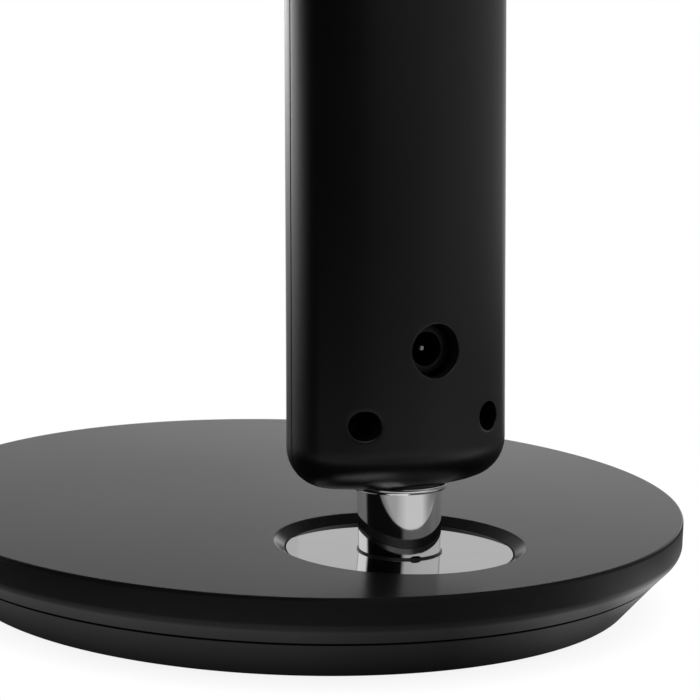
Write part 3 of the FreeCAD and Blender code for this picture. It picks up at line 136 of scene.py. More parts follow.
SURROUND = ((-180, 0.92), (-174, 0.85), (-164, 0.5), (-150, 0.5), (-128, 0.4), (-104, 0.01),
            (-22, 0.006), (0, 0.02), (27, 0.06), (48, 0.2), (70, 0.4), (100, 0.36), (130, 0.42),
            (152, 0.8), (166, 1), (180, 1))
OVERHEAD = [(0.48, 0.3), (0.72, 0.3), (0.82, 0.06), (1, 0.08)]
ROOM_FILL = 0.5
BACKDROP_WHITE = 1.25
world = bpy.data.worlds.new("room")
world.use_nodes = True
scene.world = world
tree = world.node_tree
tree.nodes.clear()
direction = add_node(tree, "TexCoord").outputs["Generated"]
height = add_node(tree, "SeparateXYZ", {0: direction}).outputs[2]
behind = add_ramp(tree, height, [
    (0, 1), (0.06, 1.6), (0.12, 2.5), (0.165, 2.2), (0.19, 1.3), (0.206, 0.76), (0.22, 0.58),
    (0.25, 0.56), (0.27, 0.4), (0.33, 0.16)] + OVERHEAD)
before = add_ramp(tree, height, [(0, 1), (0.03, 0.8), (0.08, 0.1), (0.2, 0.1)] + OVERHEAD)
facing = add_math(tree, "MULTIPLY_ADD", along_axis(tree, direction, CAMERA_SIDE), 0.5, 0.5)
facing = add_ramp(tree, facing, [(0.42, 0), (0.6, 1)])
by_height = add_node(tree, "Mix", {0: facing, 2: behind, 3: before})
surround = add_math(tree, "MULTIPLY", by_height.outputs[0], around(tree, direction, SURROUND))
left_panel = panel(tree, height, [(0, 6), (0.06, 3.6), (0.12, 1.5), (0.18, 0.9), (0.26, 0.85),
                                  (0.4, 0.5), (1, 0.2)],
                   direction, [(-166, 0), (-156, 1), (-108, 1), (-98, 0)])
right_panel = panel(tree, height, [(0.06, 0), (0.1, 1), (0.42, 1.1), (0.6, 0.3)],
                    direction, [(3, 0), (14, 0.44), (60, 0.5), (140, 0.55), (160, 0)])
seen = brightest(tree, surround, left_panel, right_panel)
path = add_node(tree, "LightPath").outputs
direct = add_math(tree, "MAXIMUM", path["Is Camera Ray"], path["Is Transmission Ray"])
strength = add_node(tree, "Mix", {0: path["Is Glossy Ray"], 2: ROOM_FILL, 3: seen})
strength = add_node(tree, "Mix", {0: direct, 2: strength.outputs[0], 3: BACKDROP_WHITE})
backdrop = add_node(tree, "Background", {"Strength": strength.outputs[0]})
add_node(tree, "OutputWorld", {0: backdrop.outputs[0]})

# Floor: one wide pale sheet under the pad. It is plain white to the camera, apart from a painted
# shadow round the lamp's foot, and glossy faces see painted patches of light glowing on it.
FLOOR_REACH = 1.6
FLOOR_GREY = 0.8
CONTACT_SHADE = 0.88
CONTACT_REACH = 0.01
floor_mesh = bpy.data.meshes.new("floor")
floor_mesh.from_pydata([(x * FLOOR_REACH, y * FLOOR_REACH, 0) for x, y in
                        ((-1, -1), (1, -1), (1, 1), (-1, 1))], [], [(0, 1, 2, 3)])
floor = bpy.data.objects.new("floor", floor_mesh)
scene.collection.objects.link(floor)
floor_material = bpy.data.materials.new("floor_sheet")
floor_material.use_nodes = True
tree = floor_material.node_tree
tree.nodes.clear()
spot = add_node(tree, "TexCoord").outputs["Object"]
radius = add_node(tree, "VectorMath", {0: spot}, operation="LENGTH").outputs["Value"]
# Painted light and shade for reflections: glossy rays see the floor glow in patches, dim close
# under the rim, brighter further out. No lamp lights these patches.
near = panel(tree, add_math(tree, "MULTIPLY", radius, 2), [
    (0.128, 0.02), (0.136, 0.06), (0.144, 0.2), (0.154, 0.42), (0.19, 0.5), (0.23, 0.26),
    (0.28, 0.12), (0.36, 0)], spot, [
    (-100, 0.5), (-60, 0.9), (-44, 1.3), (-30, 1.9), (-17, 2.1), (0, 2), (12, 1.3), (26, 0.9),
    (48, 1.9), (58, 1.6), (66, 1.2), (80, 1.9), (90, 1), (108, 0.6), (125, 0.5), (180, 0.3)])
right_floor = panel(tree, radius, [
    (0.07, 0.1), (0.08, 0.9), (0.1, 1), (0.118, 0.6), (0.16, 0.4), (0.2, 0)], spot, [
    (40, 0), (58, 0.8), (72, 1.4), (84, 1.2), (96, 0.5), (116, 0.2), (140, 0.08), (180, 0.12)])
apron = panel(tree, radius, [(0.16, 0), (0.2, 1), (0.31, 1), (0.38, 0)], spot, [
    (-120, 0), (-42, 0.02), (-36, 0.33), (-4, 0.35), (20, 0.6), (56, 0.6), (72, 0.3),
    (90, 0.15), (112, 0.12), (180, 0.2)])
open_floor = panel(tree, radius, [(0.35, 0), (0.5, 0.3), (0.75, 1)], spot, SURROUND)
back_floor = panel(tree, radius, [(0.16, 0), (0.2, 1)], spot, [
    (-180, 1), (-160, 1), (-146, 0), (134, 0), (152, 0.8), (166, 1)])
left_floor = panel(tree, add_math(tree, "MULTIPLY", radius, 0.5), [
    (0.05, 0.05), (0.15, 0.42), (0.22, 0.7), (0.35, 1.9), (0.5, 4), (0.7, 6)], spot, [
    (-176, 0), (-160, 0.4), (-128, 1), (-100, 0.9), (-80, 0.3), (-64, 0)])
glow = add_math(tree, "ADD", brightest(tree, near, right_floor),
                add_math(tree, "ADD", apron, open_floor))
glow = add_node(tree, "Emission", {"Color": (1, 1, 1, 1),
                                   "Strength": brightest(tree, glow, back_floor, left_floor)})
mottle = add_node(tree, "TexNoise", {"Vector": spot, "Scale": 3.0, "Detail": 3.0})
tone = add_ramp(tree, mottle.outputs[0], [(0.3, FLOOR_GREY), (0.7, FLOOR_GREY * 1.02)])
paper = add_node(tree, "BsdfDiffuse", {"Color": tone})
# Painted shadow: an ambient occlusion ramp darkens the emitted white where the floor nears the
# base.
contact = add_node(tree, "AmbientOcclusion", {"Distance": CONTACT_REACH}, samples=16)
shade = add_ramp(tree, contact.outputs["AO"], [(0.0, CONTACT_SHADE), (0.7, 1.0)])
painted_shadow_white = add_node(tree, "Emission", {"Color": shade, "Strength": 1.0})
path = add_node(tree, "LightPath").outputs
mixed = paper
for ray, seen in (("Is Glossy Ray", glow), ("Is Camera Ray", painted_shadow_white)):
    mixed = add_node(tree, "MixShader", {0: path[ray], 1: mixed.outputs[0], 2: seen.outputs[0]})
add_node(tree, "OutputMaterial", {0: mixed.outputs[0]})
floor_mesh.materials.append(floor_material)

# Lamp: one wide, soft, square light, high over the camera's side. It points at the lower part
# of the arm.
LIGHT_PLACE = Vector((0.35, 0.6, 1.5))
LIGHT_TARGET = Vector((0, 0, 0.1))
LIGHT_SIZE = 1.1
LIGHT_POWER = 4.5
light_data = bpy.data.lights.new("ceiling_light", "AREA")
light_data.shape = "RECTANGLE"
light_data.size = LIGHT_SIZE
light_data.size_y = LIGHT_SIZE
light_data.energy = LIGHT_POWER
light = bpy.data.objects.new("ceiling_light", light_data)
aim = (LIGHT_TARGET - LIGHT_PLACE).to_track_quat("-Z", "Y").to_matrix().to_4x4()
light.matrix_world = Matrix.Translation(LIGHT_PLACE) @ aim
scene.collection.objects.link(light)


# Upper base cover: a moulded satin-black shell. Its flat top has a round recess for the mirror
# disc, and its rim turns under towards the parting groove.
def rounded_path(corners, closed=True, steps=6):
    """Follow straight runs through corners, with each corner replaced by an arc.

    A corner is (coordinates..., radius). The arc is centred on the line that halves the corner
    and touches both runs; its points swing evenly from one touching point to the other.
    """
    spots = np.array([corner[:-1] for corner in corners], float)
    pieces = []
    for index, (*_, radius) in enumerate(corners):
        here = spots[index]
        if radius <= 0 or not closed and index in (0, len(corners) - 1):
            pieces.append(here[None])
            continue
        back = spots[index - 1] - here
        onward = spots[(index + 1) % len(corners)] - here
        back /= np.linalg.norm(back)
        onward /= np.linalg.norm(onward)
        half = 0.5 * math.acos(np.clip(back @ onward, -1, 1))
        middle = (back + onward) / np.linalg.norm(back + onward)
        centre = here + middle * radius / math.sin(half)
        first = here + back * radius / math.tan(half) - centre
        last = here + onward * radius / math.tan(half) - centre
        sweep = math.pi - 2 * half
        share = np.linspace(0, 1, steps + 1)[:, None]
        swing = np.sin((1 - share) * sweep) * first + np.sin(share * sweep) * last
        pieces.append(centre + swing / math.sin(sweep))
    return np.vstack(pieces)


def to_points(*coordinates):
    """Put coordinates together as points."""
    return np.stack(np.broadcast_arrays(*coordinates), -1)


def turned(path, count=240):
    """Turn a path round an upright line: at each angle a point lies at its radius and height.

    The path's rows are (radius, height) or (radius, height, centre along Y).
    """
    angle = np.linspace(0, 2 * math.pi, count, endpoint=False)
    centre = path[:, 2:3] if path.shape[1] > 2 else 0.0
    x = path[:, 0:1] * np.cos(angle)
    y = centre + path[:, 0:1] * np.sin(angle)
    return to_points(x, y, path[:, 1:2])


def make_piece(name, surfaces, material, caps=(), body=None, crowned=False, place=None):
    """Join grids of points, in millimetres, and flat caps into one closed mesh in metres.

    A surface is a grid of closed rings, or (grid, whether its rows close, whether its columns
    close, blocks of cells left out...). The large faces of a piece that isn't crowned keep
    their own shading up to their edges. A place is a function that moves the points.
    """
    points = []
    faces = []
    start = 0
    for surface in surfaces:
        surface = surface if type(surface) is tuple else (surface, False, True)
        grid, rows_close, columns_close, *left_out = surface
        index = start + np.arange(grid[..., 0].size).reshape(grid.shape[:2])
        start += index.size
        if rows_close:
            index = np.vstack([index, index[:1]])
        if columns_close:
            index = np.hstack([index, index[:, :1]])
        cells = to_points(index[:-1, :-1], index[:-1, 1:], index[1:, 1:], index[1:, :-1])
        keep = np.ones(cells.shape[:2], bool)
        for first_row, last_row, first_column, last_column in left_out:
            keep[first_row:last_row, first_column:last_column] = False
        faces += cells[keep].tolist()
        points.append(grid.reshape(-1, 3))
    for cap in caps:
        faces.append(list(range(start, start + len(cap))))
        points.append(cap)
        start += len(cap)
    points = np.vstack(points)
    mesh = bpy.data.meshes.new(name)
    mesh.from_pydata(((place(points) if place else points) * 0.001).tolist(), [], faces)
    work = bmesh.new()
    work.from_mesh(mesh)
    bmesh.ops.remove_doubles(work, verts=work.verts, dist=2e-7)
    bmesh.ops.recalc_face_normals(work, faces=work.faces)
    work.to_mesh(mesh)
    work.free()
    mesh.shade_smooth()
    mesh.set_sharp_from_angle(angle=math.radians(50 if crowned else 38))
    mesh.materials.append(material)
    piece = bpy.data.objects.new(name, mesh)
    scene.collection.objects.link(piece)
    if not crowned:
        piece.modifiers.new("flat_faces", "WEIGHTED_NORMAL").keep_sharp = True
    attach(piece, body)
    return piece


def start_group(name, **inputs):
    """Start a shared node group. An input is given by its kind, or by a number to start from."""
    group = bpy.data.node_groups.new(name, "ShaderNodeTree")
    for title, start in inputs.items():
        kind = start if isinstance(start, str) else "Float"
        socket = group.interface.new_socket(title, in_out="INPUT", socket_type="NodeSocket" + kind)
        if kind == "Float":
            socket.default_value = start
    return group, group.nodes.new("NodeGroupInput").outputs


def end_group(group, **outputs):
    """Put out sockets of a group under their names, as colours or numbers."""
    leave = group.nodes.new("NodeGroupOutput")
    for title, source in outputs.items():
        kind = "NodeSocketColor" if source.type == "RGBA" else "NodeSocketFloat"
        group.interface.new_socket(title, in_out="OUTPUT", socket_type=kind)
        group.links.new(source, leave.inputs[title])


def add_group(tree, group, inputs):
    """Place a shared node group and return its outputs."""
    return add_node(tree, "Group", inputs, node_tree=group).outputs


def add_noise(tree, place, size, detail, **more):
    """Add a noise pattern and return its value."""
    inputs = {"Vector": place, "Scale": size, "Detail": detail, **more}
    return add_node(tree, "TexNoise", inputs).outputs[0]


def stretch(tree, value, low, high, first, last):
    """Map a value from one range to another."""
    return add_node(tree, "MapRange", dict(enumerate((value, low, high, first, last)))).outputs[0]


def start_material(name):
    """Start a material and return it with its tree and the object coordinates."""
    material = bpy.data.materials.new(name)
    material.use_nodes = True
    tree = material.node_tree
    return material, tree, add_node(tree, "TexCoord").outputs["Object"]


def end_material(material, colour, roughness, height, bump, depth=0.0002, **levels):
    """Lead a material's colour, dullness and relief to its main shader, and set plain levels."""
    tree = material.node_tree
    relief = add_node(tree, "Bump", {"Height": height, "Strength": bump, "Distance": depth})
    inputs = {"Base Color": colour, "Roughness": roughness, "Normal": relief.outputs[0]}
    inputs.update((title.replace("_", " "), level) for title, level in levels.items())
    set_inputs(tree, tree.nodes["Principled BSDF"], inputs)
    return material


# Moulded grain: the fine spark-eroded texture of the tool, and slow patches where the surface
# is a little shinier, both read from the piece's own coordinates.
grain_group, entry = start_group("moulded_grain", Place="Vector", Size=1400.0, Dull=0.45,
                                 Shiny=0.35, Patches=18.0)
fine = add_noise(grain_group, entry["Place"], entry["Size"], 4.0, Roughness=0.6)
slow = add_noise(grain_group, entry["Place"], entry["Patches"], 3.0)
spread = stretch(grain_group, slow, 0.3, 0.7, entry["Shiny"], entry["Dull"])
end_group(grain_group, Height=fine, Roughness=spread, Patch=slow)

# Worn edges: the outermost edges, found from how the surface bends, are rubbed a little paler
# in patches.
wear_group, entry = start_group("rubbed_edges", Place="Vector", Colour="Color", Rubbed="Color",
                                Amount=0.4)
bend = add_node(wear_group, "NewGeometry").outputs["Pointiness"]
edge = stretch(wear_group, bend, 0.52, 0.60, 0.0, 1.0)
patch = stretch(wear_group, add_noise(wear_group, entry["Place"], 160.0, 3.0), 0.4, 0.7, 0.0, 1.0)
mask = add_math(wear_group, "MULTIPLY", add_math(wear_group, "MULTIPLY", edge, patch),
                entry["Amount"])
shade = add_node(wear_group, "Mix", {0: mask, 6: entry["Colour"], 7: entry["Rubbed"]},
                 data_type="RGBA")
end_group(wear_group, Colour=shade.outputs[2])


def moulded_plastic(name, colour, rubbed, dull, shiny, size=1400.0, bump=0.04, wear=0.35,
                    specular=0.5):
    """Make a moulded plastic: grained, unevenly dull, lightly rubbed on its edges."""
    material, tree, place = start_material(name)
    grain = add_group(tree, grain_group, {"Place": place, "Size": size, "Dull": dull,
                                          "Shiny": shiny})
    worn = add_group(tree, wear_group, {"Place": place, "Colour": (colour, colour, colour, 1.0),
                                        "Rubbed": (rubbed, rubbed, rubbed, 1.0), "Amount": wear})
    return end_material(material, worn["Colour"], grain["Roughness"], grain["Height"], bump,
                        Specular_IOR_Level=specular)


BASE_LEVEL = 19.0
DISC_LEVEL = 17.5
POST_BACK = 40.0
RIM_RADIUS = 78.3
RIM_FOOT = 12.9
WALL = 2.5
RECESS_FOOT_RADIUS = 22.35
RECESS_RADIUS = 24.4
POCKET_BORE = 8.85
POCKET_OUTER = 25.1 + WALL
POCKET_FLOOR = DISC_LEVEL - 1.5
POCKET_FOOT = POCKET_FLOOR - WALL
GROOVE_RADIUS = 74.9
GROOVE_LEVEL = 9.3
GROOVE_HALF = 0.2
GROOVE_TOP = GROOVE_LEVEL + GROOVE_HALF
GROOVE_FLOOR = GROOVE_LEVEL - GROOVE_HALF
RIM_SLOPE = (RIM_RADIUS - GROOVE_RADIUS) / (RIM_FOOT - GROOVE_LEVEL)
UPPER_LIP = GROOVE_RADIUS + RIM_SLOPE * GROOVE_HALF
base_black = moulded_plastic("base_black", 0.007, 0.05, 0.25, 0.19, wear=0.25, specular=0.16)
top_path = rounded_path([
    (POCKET_BORE, POCKET_FLOOR, POST_BACK, 0), (RECESS_FOOT_RADIUS, POCKET_FLOOR, POST_BACK, 0),
    (RECESS_FOOT_RADIUS, DISC_LEVEL, POST_BACK, 0.1), (RECESS_RADIUS, BASE_LEVEL, POST_BACK, 0.4),
    (RIM_RADIUS, BASE_LEVEL, 0, 0.9), (RIM_RADIUS, RIM_FOOT, 0, 2.5),
    (UPPER_LIP, GROOVE_TOP, 0, 0.15), (UPPER_LIP - WALL, GROOVE_TOP, 0, 0.15),
    (RIM_RADIUS - WALL, RIM_FOOT + WALL / 3, 0, 0.5),
    (RIM_RADIUS - WALL, BASE_LEVEL - WALL, 0, 0.5),
    (POCKET_OUTER, BASE_LEVEL - WALL, POST_BACK, 0.3), (POCKET_OUTER, POCKET_FOOT, POST_BACK, 0.3),
    (POCKET_BORE, POCKET_FOOT, POST_BACK, 0)])
base_top = make_piece("Base_top", [(turned(top_path, 320), True, True)], base_black, body="base")
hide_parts("base_top_cover")

# Lower base cover: a second satin-black moulding below a narrow dark groove. Its side slopes in
# to the foot, and its tongue stands up behind the groove.
FOOT_RADIUS = 68.0
FOOT_LEVEL = 1.3
PAD_THICK = 2.0
PAD_RADIUS = 62.0
PAD_POCKET = PAD_RADIUS + 0.25
FLOOR_LEVEL = PAD_THICK + WALL
FOOT_SLOPE = (GROOVE_RADIUS - FOOT_RADIUS) / (GROOVE_LEVEL - FOOT_LEVEL)
LOWER_LIP = GROOVE_RADIUS - FOOT_SLOPE * GROOVE_HALF
TONGUE_RADIUS = GROOVE_RADIUS - 2.5
TONGUE_TOP = GROOVE_LEVEL + 1.9
bottom_path = rounded_path([
    (0, PAD_THICK, 0), (PAD_POCKET, PAD_THICK, 0), (PAD_POCKET, FOOT_LEVEL, 0.1),
    (FOOT_RADIUS, FOOT_LEVEL, 0.4), (LOWER_LIP, GROOVE_FLOOR, 0.15),
    (TONGUE_RADIUS, GROOVE_FLOOR, 0), (TONGUE_RADIUS, TONGUE_TOP, 0.2),
    (TONGUE_RADIUS - WALL, TONGUE_TOP, 0.2), (TONGUE_RADIUS - WALL, GROOVE_FLOOR, 0.5),
    (FOOT_RADIUS - WALL / 2, FLOOR_LEVEL, 0.5), (0, FLOOR_LEVEL, 0)], closed=False)
base_bottom = make_piece("Base_bottom", [turned(bottom_path, 320)], base_black, body="base")
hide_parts("base_bottom_cover")


# Foot pad: a die-cut disc of dull black rubber, stuck into the pocket under the base. Fine ribs
# are pressed into its underside.
def clouded_plastic(name, dark, light, dull, shiny, size=1500.0, patches=90.0, light_from=0.65,
                    bump=0.05, depth=0.0002):
    """Make a plastic or rubber through its mass coloured, with faint clouding and grain."""
    material, tree, place = start_material(name)
    grain = add_group(tree, grain_group, {"Place": place, "Size": size, "Dull": dull,
                                          "Shiny": shiny, "Patches": patches})
    tone = add_ramp(tree, grain["Patch"], [(0.35, dark), (light_from, light)])
    return end_material(material, tone, grain["Roughness"], grain["Height"], bump, depth)


PAD_RIBS = 20
RIB_RISE = 0.12
RIBS_START = 3.0
PAD_BORDER = PAD_RADIUS - 1.5
pad_rubber = clouded_plastic("pad_rubber", 0.016, 0.028, 0.85, 0.7, 900.0, 18.0, 0.7, 0.3, 0.0003)
rib = np.linspace(RIBS_START, PAD_BORDER, PAD_RIBS * 6 + 1)
rib_rise = RIB_RISE * (0.5 - 0.5 * np.cos(2 * math.pi * np.linspace(0, PAD_RIBS, len(rib))))
pad_edge = rounded_path([(PAD_BORDER, 0, 0), (PAD_RADIUS, 0, 0.3), (PAD_RADIUS, PAD_THICK, 0.3),
                         (0, PAD_THICK, 0)], closed=False)
pad_path = np.vstack([[(0, 0)], to_points(rib, rib_rise), pad_edge])
pad = make_piece("Foot_pad", [turned(pad_path, 128)], pad_rubber, body="base")
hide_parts("foot_pad")

# Mirror disc: a thin steel plate, polished and plated, that lies in the recess. A hairline gap
# runs round it, and its edge is broken by a small chamfer.
polish_group, entry = start_group("polish_marks", Place="Vector", Low=0.02, High=0.06)
haze = add_noise(polish_group, entry["Place"], 90.0, 5.0)
wipe = add_node(polish_group, "Mapping", {"Vector": entry["Place"], "Scale": (60.0, 900.0, 60.0)})
wipe = add_noise(polish_group, wipe.outputs[0], 1.0, 2.0)
both = add_math(polish_group, "MULTIPLY_ADD", wipe, 0.4, haze)
level = stretch(polish_group, both, 0.45, 0.95, entry["Low"], entry["High"])
end_group(polish_group, Roughness=level, Height=haze)


def polished_metal(name, colour, low, high, bump=0.01):
    """Make a bright metal with faint haze and wiping marks in its polish."""
    material, tree, place = start_material(name)
    marks = add_group(tree, polish_group, {"Place": place, "Low": low, "High": high})
    hazy = [part * 0.97 for part in colour]
    tone = add_ramp(tree, marks["Height"], [(0.3, hazy), (0.7, colour)])
    return end_material(material, tone, marks["Roughness"], marks["Height"], bump, 0.0001,
                        Metallic=1.0)


def band(inner, outer, low, high, edges, *back):
    """Draw the section of a flat ring, with one edge radius for each corner."""
    corners = ((inner, low), (outer, low), (outer, high), (inner, high))
    return rounded_path([(*corner, *back, edge) for corner, edge in zip(corners, edges)])


DISC_RADIUS = 22.1
DISC_BORE = 6.75
mirror_polish = polished_metal("mirror_polish", (0.96, 0.96, 0.96), 0.012, 0.035, bump=0.004)
disc_path = band(DISC_BORE, DISC_RADIUS, POCKET_FLOOR, DISC_LEVEL, (0.1, 0.1, 0.14, 0.1), POST_BACK)
disc = make_piece("Mirror_disc", [(turned(disc_path), True, True)], mirror_polish, body="base")
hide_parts("mirror_disc")

# Foot ring: a thin ring of black plastic between the mirror disc and the post, which stands on
# it. It shows as a fine dark line.
RING_BORE = 6.2
RING_RADIUS = 8.3
RING_THICK = 0.25
trim_black = moulded_plastic("trim_black", 0.01, 0.04, 0.32, 0.22, size=2200.0, bump=0.02,
                             wear=0.2)
ring_path = band(RING_BORE, RING_RADIUS, DISC_LEVEL, DISC_LEVEL + RING_THICK, (0, 0.1, 0.1, 0),
                 POST_BACK)
foot_ring = make_piece("Foot_ring", [(turned(ring_path, 160), True, True)], trim_black, body="arm")
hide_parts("foot_ring")

# Post: a chrome-plated steel sleeve that leans with the arm. Its foot is cut level on the ring,
# with a small notch at the rear that marks the middle of the swivel.
LEAN = math.radians(4.0)
POST_TOP = 16.3
POST_FOOT_RADIUS = 8.0
POST_TOP_RADIUS = 8.25
POST_BORE = 6.4
POST_EDGE = 0.12
NOTCH_HALF = 1.1
NOTCH_SHIFT = 1.1
NOTCH_TALL = 0.32


def leaned(points):
    """Turn points of the upright arm about X by the lean and stand them on the mirror disc."""
    x, y, z = np.moveaxis(points, -1, 0)
    back = POST_BACK + y * math.cos(LEAN) - z * math.sin(LEAN)
    rise = DISC_LEVEL + y * math.sin(LEAN) + z * math.cos(LEAN)
    return to_points(x, back, rise)


def sleeve_wall(radii, heights, angle):
    """Stack circles along the post. One without a height lies on the level foot ring.

    There its height is a plane that slopes with the lean, plus half an ellipse over the notch.
    """
    rings = []
    for radius, height in zip(radii, heights):
        x = radius * np.cos(angle)
        y = radius * np.sin(angle)
        if height is None:
            round_share = np.clip(1 - (np.abs(x - NOTCH_SHIFT) / NOTCH_HALF) ** 2, 0, 1)
            notch = NOTCH_TALL * np.sqrt(round_share) * (y > 0)
            height = (RING_THICK + notch - y * math.sin(LEAN)) / math.cos(LEAN)
        rings.append(to_points(x, y, height))
    return np.stack(rings)


chrome = polished_metal("chrome", (0.86, 0.86, 0.865), 0.02, 0.05, bump=0.006)
post_heights = [2.2, 5.0, 8.0, 11.0, 14.0, POST_TOP]
post_slope = (POST_TOP_RADIUS - POST_FOOT_RADIUS) / POST_TOP
post_radii = [POST_FOOT_RADIUS - POST_EDGE, POST_FOOT_RADIUS]
post_radii += [POST_FOOT_RADIUS + post_slope * height for height in post_heights]
post_rings = sleeve_wall(post_radii + [POST_BORE, POST_BORE],
                         [None, None] + post_heights + [POST_TOP, None],
                         np.linspace(0, 2 * math.pi, 360, endpoint=False))
post_rings[1, :, 2] += POST_EDGE
post = make_piece("Post", [(post_rings, True, True)], chrome, body="arm", place=leaned)
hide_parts("post_sleeve")

# Collar: a chrome-plated steel ring, turned with rounded edges and pressed on the post right
# under the arm.
ARM_FOOT = 13.3
COLLAR_RADIUS = 9.0
COLLAR_THICK = 1.2
collar_path = band(POST_TOP_RADIUS + 0.05, COLLAR_RADIUS, ARM_FOOT - COLLAR_THICK, ARM_FOOT,
                   (0.1, 0.45, 0.2, 0.1))
collar = make_piece("Collar", [(turned(collar_path), True, True)], chrome, body="arm",
                    place=leaned)
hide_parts("collar_ring")


# Rear arm cover: a long satin-black moulding with a crowned back and a fully rounded lower end.
# Five bores pass through it: one for the power inlet and four wells for the screws.
def half_oval(half, depth, corner, across):
    """Follow a shallow oval from one side to the other: corner arcs and a flatter crown arc.

    Returns the points and unit normals at the given distances across, from -half to +half.
    The crown's radius is the one that touches both corner arcs.
    """
    crown = ((half - corner) ** 2 + depth ** 2 - corner ** 2) / (2 * (depth - corner))
    touch = math.atan2(crown - depth, half - corner)
    away = np.abs(across)
    at_corner = away > half - corner + corner * math.cos(touch)
    middle = np.where(at_corner, half - corner, 0.0)
    level = np.where(at_corner, 0.0, depth - crown)
    radius = np.where(at_corner, corner, crown)
    rise = np.sqrt(np.clip(radius ** 2 - (away - middle) ** 2, 0, None))
    normals = to_points(np.sign(across) * (away - middle) / radius, rise / radius)
    return to_points(across, level + rise), normals


def edged_oval(half, depth, corner, edge, across):
    """Follow a half oval whose two ends are drawn in over a quarter circle of the edge's radius.

    Returns the half oval's points and normals, and the drawn-in points.
    """
    outer, normal = half_oval(half, depth, corner, across)
    gone = np.clip(edge - outer[:, 1], 0, edge)
    inset = edge - np.sqrt(np.clip(edge ** 2 - gone ** 2, 0, None))
    curve = outer - normal * inset[:, None]
    curve[:, 1] = np.where(outer[:, 1] < 1e-9, 0.0, curve[:, 1])
    return outer, normal, curve


def quarter(steps):
    """List how far a rounded edge still stands off, and has drawn in, over a quarter circle."""
    return [(1 - math.sin(turn), 1 - math.cos(turn)) for turn in np.linspace(0, math.pi / 2, steps)]


def stations(*marks):
    """Lay even steps between marks; each mark is (value, steps to the next)."""
    parts = [np.linspace(start, end, steps, endpoint=False)
             for (start, steps), (end, _) in zip(marks[:-1], marks[1:])]
    return np.concatenate([*parts, marks[-1][:1]])


def columns_across(half, corner, limit, edge, middle, count=10):
    """List distances across: along the corner arc from its edge in to a limit, and the middle.

    The first few lie so close to the seam that a small edge round fits on them.
    """
    near = [edge * drawn for _, drawn in quarter(5)]
    far = corner * math.sin(math.acos((limit - half + corner) / corner))
    rise = np.concatenate([near, np.linspace(edge, far, count + 1)[1:-1]])
    wing = half - corner + np.sqrt(corner ** 2 - rise ** 2)
    return np.concatenate([wing, middle, -wing[::-1]])


def nearest(places, value):
    """Find which place is nearest to a value."""
    return int(np.argmin(np.abs(places - value)))


def layer(points, level, base=0.0):
    """Set a curve of (across, rise) points at one level along a shell, on a base plane."""
    return to_points(points[:, 0], base + points[:, 1], level)


def blend(first, last, shares):
    """Move points in straight lines from one curve to another."""
    return [first * (1 - share) + last * share for share in shares]


def block_ring(grid, block):
    """Read the points round a block of cells, in order."""
    first_row, last_row, first_column, last_column = block
    return np.concatenate([grid[first_row, first_column:last_column],
                           grid[first_row:last_row, last_column],
                           grid[last_row, last_column:first_column:-1],
                           grid[last_row:first_row:-1, first_column]])


def in_step(ring, guide, centre):
    """Reorder a ring's points so that they go round a centre in step with the guide's points."""
    order, guide_order = (np.argsort(np.arctan2(points[:, 2] - centre[1], points[:, 0] - centre[0]))
                          for points in (ring, guide))
    stepped = np.empty_like(ring)
    stepped[guide_order] = ring[order]
    return stepped


def round_hole(ring, centre, radius, edge, surface, bore=()):
    """Blend from the ring of a block to a circle, turn its edge in, and add rings of a bore.

    Points move in straight lines from the ring to the circle and are lifted onto the surface;
    the edge is a quarter circle. The bore's rings are (radius, depth). A ring's axes are
    (across, depth, along); the hole runs along depth.
    """
    offset = ring[:, (0, 2)] - centre
    angle = np.arctan2(offset[:, 1], offset[:, 0])
    unit = to_points(np.cos(angle), np.sin(angle))
    rings = blend(ring[:, (0, 2)], centre + unit * (radius + edge), np.linspace(0, 1, 5)[1:])
    rows = [ring] + [to_points(flat[:, 0], surface(flat[:, 0]), flat[:, 1]) for flat in rings]
    for off, drawn in quarter(5)[1:] if edge else ():
        flat = centre + unit * (radius + edge * off)
        rows.append(to_points(flat[:, 0], surface(flat[:, 0]) - edge * drawn, flat[:, 1]))
    for radius, depth in bore:
        flat = centre + unit * radius
        rows.append(to_points(flat[:, 0], depth, flat[:, 1]))
    return rows


def line_hole(grid, block, mirror, centre, radius, edge, outside, lining, boss=None, bore=()):
    """Fill a block of the outer wall, and its mirror in the inner wall, with one hole's rings."""
    ring = block_ring(grid, block)
    inner_ring = in_step(block_ring(grid, mirror), ring, centre)
    back = round_hole(inner_ring, centre, boss or radius, 0, lining)
    return np.stack(round_hole(ring, centre, radius, edge, outside, bore) + back[::-1])


ARM_TOP = 311.0
ARM_HALF = 23.0
ARM_WALL = 2.2
ARM_ROUND = 8.0
ARM_FLOOR = 18.3
REAR_OVAL = (15.2, 11.0)
SEAM = -1.4
SEAM_EDGE = 0.22
STEM_BORE = 6.2
JACK_HEIGHT = 40.3
JACK_HOLE = 5.1
JACK_PATCH = 7.2
SCREW_SIDE = 13.7
SCREW_HEIGHTS = (26.5, 287.0)
WELL_RADIUS = 2.8
WELL_SEAT = SEAM + 3.0
WELL_PATCH = (5.4, 5.2)
BOSS_RADIUS = 3.5
SHANK_RADIUS = 1.6
HOLE_EDGE = 0.3
HOLE_CELLS = 14


